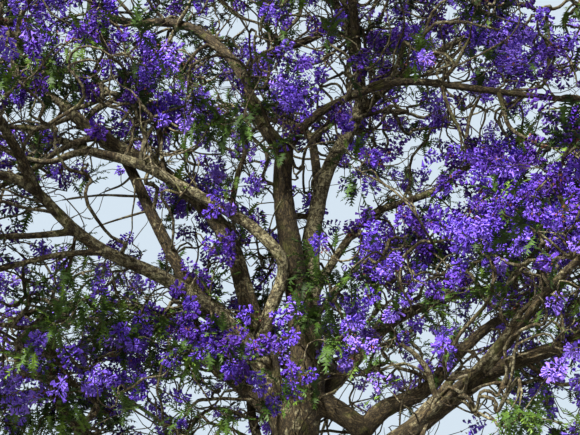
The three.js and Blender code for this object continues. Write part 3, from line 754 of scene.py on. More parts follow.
# Smaller boughs, in rows like the limbs' but without lichen. They are too thin for the merged skin.
SECOND_BOUGHS = [
    ("left_winding", "bough_left_high", 0.60, 2.12, (0.044, 0.026),
     [(194, 16), (184, 4), (195, -31), (191, 7), (185, 30), (199, -1), (163, 7)]),
    ("left_dark", "bough_left_broad", 0.85, 1.58, (0.046, 0.028),
     [(189, -12), (188, -30), (190, -45), (189, -32), (188, -5)]),
    ("left_mossy", "bough_left_broad", 0.95, 1.16, (0.034, 0.020),
     [(192, -33), (183, -24), (184, 4), (187, -7), (181, 23)]),
    ("left_hooked", "bough_left_broad", 0.98, 1.31, (0.032, 0.018),
     [(13, 2), (-15, 18), (184, 82), (179, 6), (165, 9)]),
    ("left_falling", "bough_top_left", 0.65, 1.71, (0.030, 0.018),
     [(199, -69), (192, -56), (196, -23), (193, -40)]),
    ("left_upright", "bough_left_high", 0.58, 0.57, (0.028, 0.020),
     [(230, 24), (-19, 65), (-14, 86), (6, 85)]),
    ("left_sloping", "left_upright", 0.95, 0.97, (0.026, 0.018),
     [(206, 62), (190, 12), (199, 52), (189, 30)]),
    ("left_spray", "left_upright", 0.90, 0.83, (0.020, 0.014), [(6, 25), (9, 34), (7, 20), (9, 29)]),
    ("left_post", "bough_left_high", 0.50, 0.70, (0.026, 0.016),
     [(176, 69), (185, 81), (206, 94), (165, 43)]),
    ("left_bridge", "left_post", 0.47, 0.79, (0.013, 0.009),
     [(-14, -24), (-2, 25), (-9, -23), (-10, -8), (6, 9)]),
    ("left_level", "bough_left_cross", 0.63, 0.98, (0.020, 0.011),
     [(190, -2), (192, -1), (192, -11), (193, -15)]),
    ("left_drooping", "bough_left_cross", 0.57, 0.69, (0.018, 0.010),
     [(189, -23), (190, -20), (187, -21), (190, -28)]),
    ("left_curled", "bough_left_cross", 0.77, 0.51, (0.017, 0.010),
     [(283, -83), (188, -47), (195, -26), (186, -26)]),
    ("left_thin", "bough_left_low", 0.75, 0.69, (0.015, 0.009),
     [(188, 12), (190, -31), (189, -14), (185, -33)]),
    ("inner_pale", "bough_left_high", 0.35, 1.55, (0.038, 0.024),
     [(-14, 78), (-41, 77), (-12, 70), (-138, 82), (-178, 14), (-162, 27)]),
    ("inner_spray", "inner_pale", 0.60, 0.52, (0.022, 0.014),
     [(-14, 40), (-12, 40), (-15, 22), (-10, 3)]),
    ("top_left_pale", "bough_top_left", 0.75, 1.53, (0.026, 0.014),
     [(184, -3), (198, -25), (189, 42), (195, -16), (191, -24), (192, -53)]),
    ("top_rising", "bough_top_left", 0.62, 0.69, (0.032, 0.020),
     [(166, -3), (345, 59), (326, 57), (324, 68)]),
    ("top_dark", "bough_top", 0.30, 1.09, (0.040, 0.024),
     [(-15, 54), (-23, 58), (-9, 39), (-57, 80), (-166, 65)]),
    ("top_thin", "bough_top", 0.42, 1.41, (0.024, 0.014),
     [(160, 71), (167, 49), (170, 21), (172, 47), (156, 52)]),
    ("top_ring", "bough_top", 0.43, 1.30, (0.030, 0.018),
     [(-161, -90), (3, -20), (-12, -9), (-18, 31), (-8, 40), (-23, 7)]),
    ("top_level", "bough_top", 0.88, 1.08, (0.026, 0.015),
     [(-12, -54), (-2, -2), (-8, 29), (-3, -14), (-10, 27)]),
    ("crown_spray", "bough_crown_right", 0.23, 0.76, (0.030, 0.018),
     [(-92, 88), (-23, 42), (-12, 8), (-24, 17)]),
    ("right_rearing", "bough_right_level", 0.47, 0.81, (0.034, 0.020),
     [(-7, 0), (-10, 49), (-12, 62), (-36, 57)]),
    ("right_hanging", "bough_right_level", 0.50, 0.84, (0.030, 0.018),
     [(-54, -82), (-24, -75), (-20, -66), (-68, -91)]),
    ("right_post", "bough_right_rising", 0.80, 1.35, (0.032, 0.018),
     [(202, 68), (12, 81), (5, 62), (21, 47)]),
    ("right_trailing", "bough_right_level", 0.65, 1.05, (0.030, 0.018),
     [(-47, -76), (-48, -80), (-12, -37), (-19, -21)]),
    ("low_pale", "bough_right_low", 0.32, 1.14, (0.050, 0.036), [(-16, 49), (-14, 43), (-15, 49)]),
    ("low_upright", "bough_right_low", 0.47, 0.90, (0.038, 0.028),
     [(187, 51), (232, 68), (203, 44), (202, 20)]),
    ("low_fork", "bough_right_sweep", 0.37, 0.70, (0.030, 0.018),
     [(35, 68), (-162, 26), (-167, 11), (-154, 42)]),
    ("low_level", "bough_right_low", 0.50, 1.55, (0.034, 0.018),
     [(-56, 130), (-25, 31), (9, -34), (-11, -3), (0, 22), (-14, 23)]),
    ("low_far", "bough_right_low", 0.70, 0.92, (0.030, 0.018),
     [(-3, -45), (-10, -41), (-4, 9), (-21, -12)]),
    ("low_winding", "bough_right_low", 0.62, 1.04, (0.020, 0.010),
     [(-23, -69), (-26, -65), (-28, -33), (-18, -16), (-22, -15)]),
]
SECOND_TIP = 0.55
SECOND_TIP_STARTS = 0.88
SECOND_KNOBS = 0.16
SECOND_KNOB_SEED = 4

second_boughs = {}
for name, parent, leaves_at, length, radius, course in SECOND_BOUGHS:
    holder = limbs[parent] if parent in limbs else second_boughs[parent]
    step = round(leaves_at * ROUTE_STEPS)
    route = limb_route(holder["route"][step], length, course)
    girths = limb_girths(length, radius, holder["girths"][step])
    girths *= 1 + SECOND_KNOBS * smooth_noise(route / KNOB_SIZE, SECOND_KNOB_SEED)
    beyond = (np.linspace(0, 1, ROUTE_STEPS + 1) - SECOND_TIP_STARTS) / (1 - SECOND_TIP_STARTS)
    girths *= 1 - (1 - SECOND_TIP) * np.clip(beyond, 0, 1)
    second_boughs[name] = {"route": route, "girths": girths, "length": length}

# Places in the crown as the viewer sees them, each an ellipse on the upright plane through the
# trunk: x, height, half width, half height. Sky shows through the first kind. The others are
# banks of dense blossom, leafy places, and tangles of nearly bare twigs.
OPENINGS = [
    (-2.78, 5.85, 0.36, 0.25), (-2.13, 5.65, 0.30, 0.30), (-3.30, 5.35, 0.38, 0.19),
    (-3.45, 4.92, 0.42, 0.24), (-2.60, 5.35, 0.31, 0.12), (-1.51, 6.35, 0.31, 0.21),
    (-3.45, 4.36, 0.36, 0.20), (-2.45, 4.42, 0.20, 0.14), (-1.75, 4.40, 0.22, 0.14),
    (1.05, 3.75, 0.26, 0.16), (1.46, 7.41, 0.28, 0.15), (1.05, 8.00, 0.25, 0.10),
    (0.66, 3.36, 0.30, 0.14),
    (-1.11, 6.35, 0.24, 0.16), (-1.11, 5.20, 0.18, 0.15), (0.02, 6.15, 0.14, 0.26),
    (0.34, 5.37, 0.09, 0.18), (0.62, 5.73, 0.21, 0.17), (1.64, 6.33, 0.37, 0.17),
    (1.70, 5.90, 0.21, 0.12), (1.34, 5.64, 0.17, 0.15), (0.16, 7.60, 0.17, 0.14),
    (2.24, 7.50, 0.43, 0.25), (2.48, 6.80, 0.28, 0.19), (3.26, 7.45, 0.22, 0.12),
    (0.94, 8.18, 0.22, 0.18), (0.56, 3.16, 0.26, 0.22), (1.22, 2.98, 0.37, 0.20),
    (2.08, 2.96, 0.42, 0.19), (2.21, 4.19, 0.15, 0.15), (-0.19, 4.21, 0.11, 0.17),
    (-0.58, 3.39, 0.14, 0.19), (-1.12, 3.31, 0.13, 0.11), (-2.33, 3.65, 0.16, 0.16),
    (-2.70, 3.76, 0.12, 0.16), (3.42, 8.40, 0.32, 0.14), (3.38, 8.00, 0.09, 0.13),
]
BLOSSOM_BANKS = [
    (2.95, 5.65, 1.15, 0.75), (2.85, 7.80, 0.80, 0.50), (-1.80, 7.15, 0.32, 0.30),
    (-0.50, 7.35, 0.32, 0.32), (-3.60, 8.30, 0.55, 0.35), (-3.40, 3.45, 0.26, 0.26),
    (-2.20, 3.57, 0.46, 0.38), (-0.97, 3.70, 0.26, 0.30), (0.62, 4.40, 0.16, 0.12),
    (0.62, 3.62, 0.22, 0.17), (1.25, 5.10, 0.60, 0.42), (1.25, 8.00, 0.42, 0.36),
    (0.42, 6.80, 0.45, 0.30), (-1.15, 5.65, 0.45, 0.35), (3.20, 3.75, 0.35, 0.30),
    (-0.40, 3.04, 0.18, 0.12),
]
LEAFY_PLACES = [
    (-2.70, 3.65, 1.30, 0.85), (2.90, 3.05, 0.60, 0.25), (0.20, 4.60, 0.30, 0.45),
    (-0.95, 3.85, 0.45, 0.40), (-2.60, 3.00, 1.40, 0.35),
]
TANGLES = [
    (-1.90, 5.90, 1.30, 0.70), (1.90, 3.70, 1.00, 0.60), (-1.20, 8.10, 0.60, 0.40),
    (-3.00, 6.85, 0.80, 0.33), (-2.30, 4.45, 0.85, 0.30), (0.25, 8.30, 0.55, 0.30),
    (-1.10, 7.45, 0.35, 0.40), (-0.95, 3.00, 0.60, 0.28),
]

# The share of twigs that end in blossom and in leaves, how readily a spray finds room there, and
# how many panicles stand at the tip of a twig in blossom.
HABITS = {
    "plain": {"blossom": 0.41, "leaf": 0.23, "room": 0.62, "panicles": 1.6},
    "bank": {"blossom": 0.9, "leaf": 0.07, "room": 1.0, "panicles": 2.1},
    "leafy": {"blossom": 0.34, "leaf": 0.62, "room": 1.0, "panicles": 1.6},
    "tangle": {"blossom": 0.2, "leaf": 0.1, "room": 0.55, "panicles": 1.3},
    "open": {"blossom": 0.2, "leaf": 0.1, "room": 0.06, "panicles": 1},
}
HABIT_SIZE = 1.1
SEEN_HALF_WIDTH = 3.7
SEEN_HEIGHTS = (2.8, 8.7)
SEEN_DEPTH = 2.5
HABIT_SEED = 11
TANGLE_BELOW, LEAFY_BELOW, BANK_OVER = -0.5, -0.3, 0.28


def seen_at(places):
    """Where the viewer sees places, as x and height on the upright plane through the trunk."""
    share = -EYE[1] / (places[:, 1] - EYE[1])
    return EYE[0] + (places[:, 0] - EYE[0]) * share, EYE[2] + (places[:, 2] - EYE[2]) * share


def is_among(places, ellipses):
    """Whether the viewer sees each place inside one of the ellipses."""
    x, z = seen_at(places)
    among = np.zeros(len(places), dtype=bool)
    for middle_x, middle_z, half_width, half_height in ellipses:
        among |= np.hypot((x - middle_x) / half_width, (z - middle_z) / half_height) < 1
    return among


def habits_of(places):
    """The habit of the crown at each place. Out of the viewer's sight it changes at random."""
    x, z = seen_at(places)
    seen = (np.abs(x) < SEEN_HALF_WIDTH) & (z > SEEN_HEIGHTS[0]) & (z < SEEN_HEIGHTS[1])
    seen &= places[:, 1] < SEEN_DEPTH
    drift = smooth_noise(places / HABIT_SIZE, HABIT_SEED)
    habits = np.full(len(places), "plain", dtype=object)
    leafy = (drift > TANGLE_BELOW) & (drift < LEAFY_BELOW)
    habits[np.where(seen, is_among(places, TANGLES), drift < TANGLE_BELOW)] = "tangle"
    habits[np.where(seen, is_among(places, LEAFY_PLACES), leafy)] = "leafy"
    habits[np.where(seen, is_among(places, BLOSSOM_BANKS), drift > BANK_OVER)] = "bank"
    habits[is_among(places, OPENINGS)] = "open"
    return habits


def between(random, low, high, *shape):
    """Even random numbers between two values."""
    return random.uniform(low, high, shape or None)


# The limbs as the viewer sees them: sprays that would hang right in front of one mostly stay away.
VEIL_SHARE = 0.4
VEIL_ROOM = 0.13

seen_knots = np.concatenate([knots] + [bough["route"] for bough in second_boughs.values()])
seen_girths = np.concatenate([knot_girths] + [bough["girths"] for bough in second_boughs.values()])
seen_finder = finder_of([(x, z, 0) for x, z in zip(*seen_at(seen_knots))])


def hides_limb(places):
    """Whether each place is in front of a limb that the viewer sees."""
    hides = np.zeros(len(places), dtype=bool)
    for row, (x, z) in enumerate(zip(*seen_at(places))):
        _, index, distance = seen_finder.find((x, z, 0))
        nearer = places[row, 1] < seen_knots[index, 1]
        hides[row] = nearer and distance < seen_girths[index] + VEIL_ROOM
    return hides


def tip_way(route):
    """The way of a limb at its tip."""
    return unit(route[-1] - route[-1 - TIP_STEPS])


masses = []
for name, limb, (bearing, climb, distance), size, fullness in MASSES:
    tip = limbs[limb]["route"][-1]
    masses.append({
        "name": name, "size": size, "fullness": fullness, "tip": tip,
        "way": tip_way(limbs[limb]["route"]), "girth": limbs[limb]["girths"][-1] * STEM_GIRTH,
        "middle": tip + heading(bearing, climb) * distance,
    })


def depth_in(mass, places):
    """How deep places are in a mass: 0 at its middle, 1 at its edge, more outside."""
    away = (places - mass["middle"]) / [1, 1, FLATNESS]
    return np.linalg.norm(away, axis=1) / mass["size"]


def has_room(places, random):
    """Whether a spray can grow at each place. Few grow where sky shows or a limb would be hidden."""
    room = np.array([HABITS[habit]["room"] for habit in habits_of(places)])
    veiled = hides_limb(places) & (random.random(len(places)) > VEIL_SHARE)
    veiled &= ~is_among(places, LEAFY_PLACES)
    chance = random.random(len(places)) < room
    return chance & ~veiled & (places[:, 2] > LOWEST)


def spread_out(places, count, spacing):
    """The first places that are at least the spacing from all that were taken before them."""
    taken = np.empty((0, 3))
    for place in places:
        if len(taken) == count:
            break
        if not len(taken) or np.min(np.linalg.norm(taken - place, axis=1)) > spacing:
            taken = np.vstack([taken, place])
    return taken


def spray_places(mass, random):
    """The places of a mass's sprays, spread evenly through its own space."""
    count = round(math.pi * mass["size"] ** 2 * mass["fullness"] / ROOM)
    tries = count * CHOICES
    out = between(random, HOLLOW, 1, tries) ** (1 / 3)
    up = between(random, -1, 1, tries)
    turn = between(random, 0, 2 * math.pi, tries)
    flat = np.sqrt(1 - up * up)
    places = np.column_stack([flat * np.cos(turn), flat * np.sin(turn), up * FLATNESS])
    places = places * (mass["size"] * out)[:, None] + mass["middle"]
    depth = depth_in(mass, places)
    own = np.all([depth_in(other, places) >= depth for other in masses], axis=0)
    places = places[own]
    return spread_out(places[has_room(places, random)], count, SPACING)


def grow_twig(twig, course, places, most_girth, tip_girth, twigs, tips):
    """Grows a twig on towards the places of its sprays, and forks it until each has its own."""
    start = twig[-1][0]
    way = places.mean(axis=0) - start
    distance = np.linalg.norm(way)
    single = len(places) == 1
    run = max(distance - TIP_SHORTFALL, SHORTEST_TWIG) if single else min(distance / 2, TWIG_REACH)
    course = unit(way / distance + course * STIFFNESS)
    end = start + course * run
    girth = TWIG_END if single else min(most_girth, tip_girth * math.sqrt(len(places)))
    twig.append((end, girth))
    if single:
        twigs.append(twig)
        tips.append((end, course))
        return
    away = places - places.mean(axis=0)
    spread = away[np.argmax(np.linalg.norm(away, axis=1))]
    order = np.argsort(places @ spread)
    half = math.ceil(len(places) / 2)
    before = twig[-2][0]
    most_girth *= FORK_THINNING
    grow_twig(twig, course, places[order[:half]], most_girth, tip_girth, twigs, tips)
    fork = [(before, None), (end, girth * TWIG_THINNING)]
    grow_twig(fork, course, places[order[half:]], most_girth, tip_girth, twigs, tips)


def wander(places, root):
    """Moves places sideways, so that the twigs through them wind. Nothing moves at the root."""
    moved = places.copy()
    start = eased(np.linalg.norm(places - root, axis=1) / WIND_STARTS_OVER)[:, None]
    for seed, (size, reach) in enumerate(WIND_SIZES, WIND_SEED):
        shift = [smooth_noise(places / size + WIND_SHIFT * axis, seed) for axis in range(3)]
        moved += np.column_stack(shift) * reach * start
    return moved


def smooth_strand(stations):
    """A smooth line through a twig's stations, and its girth at each point. A first station with
    no girth lies on the parent, and only says which way the twig leaves it."""
    places = np.array([place for place, _ in stations])
    girths = [girth for _, girth in stations]
    if girths[0] is None:
        girths = girths[1:]
    else:
        places = np.vstack([2 * places[0] - places[1], places])
    places = np.vstack([places, 2 * places[-1] - places[-2]])
    points, thickness = [], []
    for index in range(len(girths) - 1):
        a, b, c, d = places[index:index + 4]
        steps = max(2, round(np.linalg.norm(c - b) / TWIG_STEP))
        t = np.linspace(0, 1, steps, endpoint=False)[:, None]
        points.append(0.5 * (2 * b + (c - a) * t + (2 * a - 5 * b + 4 * c - d) * t ** 2
                             + (3 * b - a - 3 * c + d) * t ** 3))
        thickness.append(girths[index] + (girths[index + 1] - girths[index]) * t[:, 0])
    points.append(places[-2:-1])
    thickness.append([girths[-1]])
    return np.concatenate(points), np.concatenate(thickness)


twig_strands, tip_places, tip_ways = [], [], []


def grow_from(root, way, stem, places, most_girth, tip_girth=TWIG_TIP):
    """Grows twigs from one root to the places of its sprays, and keeps their strands and tips."""
    twigs, tips = [], []
    grow_twig(stem, way, places, most_girth, tip_girth, twigs, tips)
    for twig in twigs:
        points, girths = smooth_strand(twig)
        knobs = smooth_noise(points / KNOB_SIZE, TWIG_KNOB_SEED)
        twig_strands.append((wander(points, root), girths * (1 + TWIG_KNOBS * knobs)))
    tip_places.append(wander(np.array([end for end, _ in tips]), root))
    tip_ways.append(np.array([course for _, course in tips]))


for index, mass in enumerate(masses):
    random = np.random.default_rng(SEED + index)
    places = spray_places(mass, random)
    start = mass["tip"] - mass["way"] * STEM_START
    stem = [(start, mass["girth"]), (mass["tip"] + mass["way"] * STEM_START, mass["girth"])]
    grow_from(mass["tip"], mass["way"], stem, places, mass["girth"])

# Side twigs: each limb has roots at even steps, and each root serves the sprays just beyond it.
# Each row of the kinds: step between roots, sprays a metre, nearest and farthest reach, lead of the
# root on its sprays, and radius at the tips.
SIDE_KINDS = [(0.42, 13, (0.35, 1.15), 0.3, TWIG_TIP), (0.8, 6.5, (1.0, 2.1), 0.6, 0.0125)]
SECOND_KINDS = [(0.35, 10, (0.3, 1.0), 0.12, TWIG_TIP)]
# The share of a limb, from its foot, that bears no twigs: one for all boughs, and those that differ.
BOUGH_BARE_SHARE = 0.2
BARE_SHARES = {"trunk": 0.62, "stem_left": 0.3, "stem_middle": 0.3, "stem_right": 0.3,
               "bough_left_high": 0.5, "bough_left_broad": 0.42}
# Limbs with more or fewer side twigs than the usual number.
BUSHY_LIMBS = {"trunk": 2.2, "stem_left": 1.8, "bough_left_low": 1.3, "bough_left_bottom": 1.8,
               "bough_back_stem": 1.8, "bough_left_side": 0.4, "bough_left_droop": 0.4,
               "left_level": 0.4, "left_drooping": 0.4}
SIDE_GIRTH = 0.5
CLEAR_OF_LIMBS = 0.21
SIDE_UPWARDS = 0.3
SIDE_SEED = SEED + 500
SEEDS_A_KIND = 100

for index, (name, limb) in enumerate((limbs | second_boughs).items()):
    starts_at = BARE_SHARES.get(name, BOUGH_BARE_SHARE)
    kinds = SIDE_KINDS if name in limbs else SECOND_KINDS
    for kind, (every, per_metre, side_reach, lead, tip_girth) in enumerate(kinds):
        random = np.random.default_rng(SIDE_SEED + SEEDS_A_KIND * kind + index)
        length = limb["length"]
        count = round(length * (1 - starts_at) * per_metre * BUSHY_LIMBS.get(name, 1))
        share = between(random, starts_at, 1, count)
        knot = np.round(share * ROUTE_STEPS).astype(int)
        out = unit(random.normal(size=(count, 3)) + [0, 0, SIDE_UPWARDS])
        reach = between(random, *side_reach, count)
        places = limb["route"][knot] + out * reach[:, None]
        root_share = np.maximum(share * length - lead, 0) // every * every / length
        kept = has_room(places, random)
        _, away = nearest_knots(places)
        kept &= away > CLEAR_OF_LIMBS
        for root in np.unique(root_share[kept]):
            own = places[kept & (root_share == root)]
            step = round(root * ROUTE_STEPS)
            base = limb["route"][step]
            girth = min(tip_girth * math.sqrt(len(own)), limb["girths"][step] * SIDE_GIRTH)
            way = unit(own.mean(axis=0) - base)
            grow_from(base, way, [(base, girth)], own, girth, tip_girth)

# Each smaller bough ends in a few twigs of its own.
TIP_SPRAYS = 5
TIP_SPRAYS_AHEAD = 0.32
TIP_SPRAYS_SPREAD = 0.2
TIP_SPRAYS_SEED = SEED + 700

random = np.random.default_rng(TIP_SPRAYS_SEED)
for bough in second_boughs.values():
    tip, girth = bough["route"][-1], bough["girths"][-1]
    way = tip_way(bough["route"])
    places = tip + way * TIP_SPRAYS_AHEAD + random.normal(size=(TIP_SPRAYS, 3)) * TIP_SPRAYS_SPREAD
    grow_from(tip, way, [(tip, girth)], places, girth)

# More sprays where the crown would be thin: a loose belt in front of the forks, some behind the
# stems, and some at the crown's edges. They grow from the nearest limbs. Each row: middle, reach
# and number.
EXTRA_SPRAYS = [
    ((-0.85, -0.9, 3.60), (0.45, 0.3, 0.30), 13), ((-0.85, -0.9, 4.10), (0.40, 0.3, 0.20), 8),
    ((-0.20, -0.9, 3.75), (0.40, 0.3, 0.30), 13), ((0.15, -0.9, 4.20), (0.25, 0.3, 0.25), 5),
    ((0.40, -0.9, 4.20), (0.35, 0.3, 0.30), 6), ((0.50, -0.9, 3.60), (0.25, 0.3, 0.22), 5),
    ((0.85, -0.8, 4.10), (0.35, 0.3, 0.25), 2), ((-0.90, 0.9, 5.65), (0.60, 0.4, 0.40), 22),
    ((0.30, 0.8, 5.60), (0.40, 0.3, 0.40), 14), ((-1.20, 0.3, 8.50), (0.60, 0.4, 0.35), 14),
    ((-3.00, -0.3, 3.05), (0.80, 0.5, 0.30), 28), ((3.30, 0.2, 2.95), (0.60, 0.4, 0.25), 10),
    ((3.30, -0.3, 5.70), (0.50, 0.5, 0.70), 20),
    ((2.70, 0.0, 3.75), (0.60, 0.4, 0.25), 9), ((2.90, 0.2, 8.10), (0.60, 0.5, 0.40), 14),
    ((1.00, 0.3, 5.45), (0.35, 0.4, 0.35), 9), ((-0.37, -0.9, 2.93), (0.25, 0.25, 0.15), 4),
    ((-1.35, 0.9, 5.75), (0.35, 0.4, 0.35), 14),
    ((0.58, -0.7, 3.40), (0.28, 0.25, 0.12), 7), ((0.00, -0.9, 3.25), (0.30, 0.25, 0.25), 6),
]
EXTRA_ROOT_STEPS = 10
EXTRA_GIRTH = 1.4
EXTRA_SEED = SEED + 800

random = np.random.default_rng(EXTRA_SEED)
places = np.concatenate([
    middle + unit(random.normal(size=(count, 3))) * random.random((count, 1)) ** (1 / 3) * reach
    for middle, reach, count in EXTRA_SPRAYS
])
places = places[~is_among(places, OPENINGS)]
near, _ = nearest_knots(places)
limb_start = near // (ROUTE_STEPS + 1) * (ROUTE_STEPS + 1)
roots = limb_start + (near - limb_start) // EXTRA_ROOT_STEPS * EXTRA_ROOT_STEPS
for root in np.unique(roots):
    own = places[roots == root]
    girth = min(TWIG_TIP * math.sqrt(len(own)) * EXTRA_GIRTH, knot_girths[root] * SIDE_GIRTH)
    way = unit(own.mean(axis=0) - knots[root])
    grow_from(knots[root], way, [(knots[root], girth)], own, girth)
tip_places = np.concatenate(tip_places)
tip_ways = unit(np.concatenate(tip_ways))

# The smaller boughs and the stout twigs have paler bark than the fine ones, and more lichen.
DARK_TWIG, BROWN_TWIG, GREY_TWIG = (28, 20, 10), (86, 72, 46), (152, 144, 112)
DARK_FINE, BROWN_FINE, GREY_FINE = (24, 17, 9), (72, 58, 38), (128, 114, 82)
TWIG_LICHEN = 0.7
FINE_LICHEN = 0.35
SECOND_SIDES = 10

twig_bark = bark_material("twig_bark", TWIG_LICHEN, DARK_TWIG, BROWN_TWIG, GREY_TWIG)
fine_bark = bark_material("fine_bark", FINE_LICHEN, DARK_FINE, BROWN_FINE, GREY_FINE)
# Each row: name, the girth that a strand of the piece starts over, sides of its sleeve and bark.
TWIG_PIECES = [
    ("branchlets", 0.016, 5, twig_bark),
    ("twigs_stout", 0.0105, 4, twig_bark),
    ("twigs_fine", 0, 3, fine_bark),
]


def dress_crown(made):
    """Rides a piece on the tree, in the place of the solid masses of its crown."""
    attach(made, "root")
    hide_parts(*[mass["name"] for mass in masses])


def sleeve_piece(name, strands, sides, bark):
    """One piece of twigs: a sleeve of bark on each of its strands."""
    made = strands_object(name, strands)
    apply_tree(made, sleeves, {"Sides": sides, "Finish": bark})
    dress_crown(made)


second_strands = [(bough["route"], bough["girths"]) for bough in second_boughs.values()]
sleeve_piece("second_boughs", second_strands, SECOND_SIDES, twig_bark)
for name, least_girth, sides, bark in TWIG_PIECES:
    sleeve_piece(name, [strand for strand in twig_strands if strand[1][0] > least_girth], sides, bark)
    twig_strands = [strand for strand in twig_strands if strand[1][0] <= least_girth]


# Flower panicles
# Each is a loose upright cone of soft violet-blue trumpets on short stalks round one thin rachis, a
# hand's length or two long. The flowers open first at its foot; those at its tip are still small.

PANICLE_LENGTH = (0.13, 0.24)
PANICLE_WIDTH = 0.27
PANICLE_TAPER = 0.7
PANICLE_FLOWERS = 26
PANICLE_LIFT = 0.5
BARE_SHOOTS = (2, 5)
SHOOT_LENGTH = (0.08, 0.24)
FIRST_SHOOT = 0.4
SHOOT_SPREAD = 0.9
SHOOT_GIRTHS = (0.0045, 0.003, 0.0018)
SHOOT_SIDES = 3
# Where flowers stand: place within their step up the rachis, turn from it, and share of a stalk.
GOLDEN_TURN = 2.39996
STEP_STRAY = (0.1, 0.9)
TURN_STRAY = (-0.5, 0.5)
STALK_SHARE = (0.45, 1)
FLOWER_FORWARD = 0.3
FLOWER_DROOP = 0.6
FLOWER_LENGTH = 0.077
PETALS = 5
TUBE_SHARE = 0.72
BUD_SIDES = 4
BUD_SHARE = 0.9
FLOWER_MOUTH = 0.2
FLOWER_RIM = 0.36
FLOWER_SIZE = (0.75, 1.25)
SIZE_AT_FOOT = 1.15
SIZE_LOST_AT_TIP = 0.45
FLOWER_KINDS = (0.15, 0.08, 0.77)
# How far inside the throat a flower is at its foot, at the tube's mouth and at the lobes' tips.
THROAT_DEPTHS = (0.0, 1.0, 0.25)
BUD_THROAT = 0.5
# Panicles are ranked by paleness and share out the violets. Those low in the crown are dealt paler
# violets: painted light that makes up for the shade the crown above casts on them.
PALENESS_DRIFT = 2.2
PALENESS_STRAY = 0.85
PALENESS_SEED = 31
# Painted light: how much paler the violets are dealt to panicles in the shaded low crown.
LOW_PAINTED_LIGHT = 1.5
LOW_CROWN = (3.0, 5.2)
VIOLETS = [
    ("deep", 0.15, (76, 40, 136)),
    ("rich", 0.22, (98, 60, 178)),
    ("full", 0.26, (118, 82, 216)),
    ("light", 0.22, (138, 104, 232)),
    ("pale", 0.15, (156, 122, 238)),
]
THROAT = (214, 196, 244)
THROAT_EDGE = (0.6, 1)
THROAT_PALENESS = 0.12
PETAL_SHADE = 0.72
PETAL_PATCHES = 45.0
PETAL_ROUGHNESS = 0.7
PETAL_GLOSS = 0.15
PANICLE_SEED = SEED + 900

random = np.random.default_rng(PANICLE_SEED)
tip_habits = habits_of(tip_places)
fate = random.random(len(tip_places))
blossom_share = np.array([HABITS[habit]["blossom"] for habit in tip_habits])
leaf_share = np.array([HABITS[habit]["leaf"] for habit in tip_habits])
in_blossom = fate < blossom_share
in_leaf = ~in_blossom & (fate < blossom_share + leaf_share)


def shoots_from(places, ways, counts, random):
    """Short shoots that fan out from the tips of twigs: where they start and end, and their ways."""
    rows = np.repeat(np.arange(len(places)), counts)
    first = np.concatenate([[True], rows[1:] != rows[:-1]])
    spread = random.normal(size=(len(rows), 3)) * SHOOT_SPREAD * ~first[:, None]
    aims = unit(ways[rows] + spread + [0, 0, PANICLE_LIFT])
    lengths = between(random, *SHOOT_LENGTH, len(rows)) * np.where(first, FIRST_SHOOT, 1)
    return places[rows], places[rows] + aims * lengths[:, None], aims


counts = np.array([HABITS[habit]["panicles"] for habit in tip_habits[in_blossom]])
counts = np.floor(counts + random.random(len(counts))).astype(int)
starts, feet, aims = shoots_from(tip_places[in_blossom], tip_ways[in_blossom], counts, random)
panicle_length = between(random, *PANICLE_LENGTH, len(feet))
panicle_tips = feet + aims * panicle_length[:, None]
shoots = [np.array(points) for points in zip(starts, feet, panicle_tips)]

bare = ~in_blossom & ~in_leaf & (tip_habits != "open")
counts = random.integers(*BARE_SHOOTS, np.count_nonzero(bare))
for start, end, aim in zip(*shoots_from(tip_places[bare], tip_ways[bare], counts, random)):
    shoots.append(np.array([start, end, end + (aim + [0, 0, PANICLE_LIFT]) * SHOOT_LENGTH[0]]))
shoots = [(points, np.array(SHOOT_GIRTHS)) for points in shoots]
sleeve_piece("flower_shoots", shoots, SHOOT_SIDES, fine_bark)

# Places of the flowers, as arrays of panicle by flower.
order = np.arange(PANICLE_FLOWERS)
grid = len(feet), PANICLE_FLOWERS
share = (order + between(random, *STEP_STRAY, *grid)) / PANICLE_FLOWERS
turn = GOLDEN_TURN * order + between(random, *TURN_STRAY, *grid)
side = unit(np.cross(aims, random.normal(size=aims.shape)))
across = np.cross(aims, side)
out = side[:, None] * np.cos(turn)[..., None] + across[:, None] * np.sin(turn)[..., None]
width = (panicle_length * PANICLE_WIDTH)[:, None] * (1 - PANICLE_TAPER * share)
width *= between(random, *STALK_SHARE, *grid)
flower_places = feet[:, None] + aims[:, None] * (panicle_length[:, None] * share)[..., None]
flower_places = flower_places + out * width[..., None]
flower_ways = unit(out + aims[:, None] * FLOWER_FORWARD - [0, 0, FLOWER_DROOP])
flower_sizes = between(random, *FLOWER_SIZE, *grid) * (SIZE_AT_FOOT - SIZE_LOST_AT_TIP * share)
drift = smooth_noise(feet / HABIT_SIZE, PALENESS_SEED)
# Painted light: the lower a panicle stands in the crown, the paler the violets it is dealt, against the
# shade of the crown above. The drift and the stray are the blossoms' own random tone.
painted_light_share = np.clip((LOW_CROWN[1] - feet[:, 2]) / (LOW_CROWN[1] - LOW_CROWN[0]), 0, 1)
stray = random.normal(size=len(feet)) * PALENESS_STRAY
paleness_and_painted_light = PALENESS_DRIFT * drift + stray + LOW_PAINTED_LIGHT * painted_light_share
paleness_and_painted_light = np.argsort(np.argsort(paleness_and_painted_light)) / len(feet)
shade_of = np.searchsorted(np.cumsum([part for _, part, _ in VIOLETS[:-1]]), paleness_and_painted_light, side="right")


def ring(sides, radius, height, turn=0):
    """Corners evenly round a level ring."""
    angles = np.arange(sides) * 2 * math.pi / sides + turn
    return [(radius * math.cos(a), radius * math.sin(a), height) for a in angles]


def cone(sides):
    """Faces from corner 0 to the ring of corners that follows it."""
    return [(0, 1 + (k + 1) % sides, 1 + k) for k in range(sides)]


def prototype_mesh(name, corners, faces, length):
    """A small mesh that is dealt out many times. Its corners are for a length of one."""
    mesh = bpy.data.meshes.new(name)
    mesh.from_pydata((np.array(corners) * length).tolist(), [], faces)
    return mesh


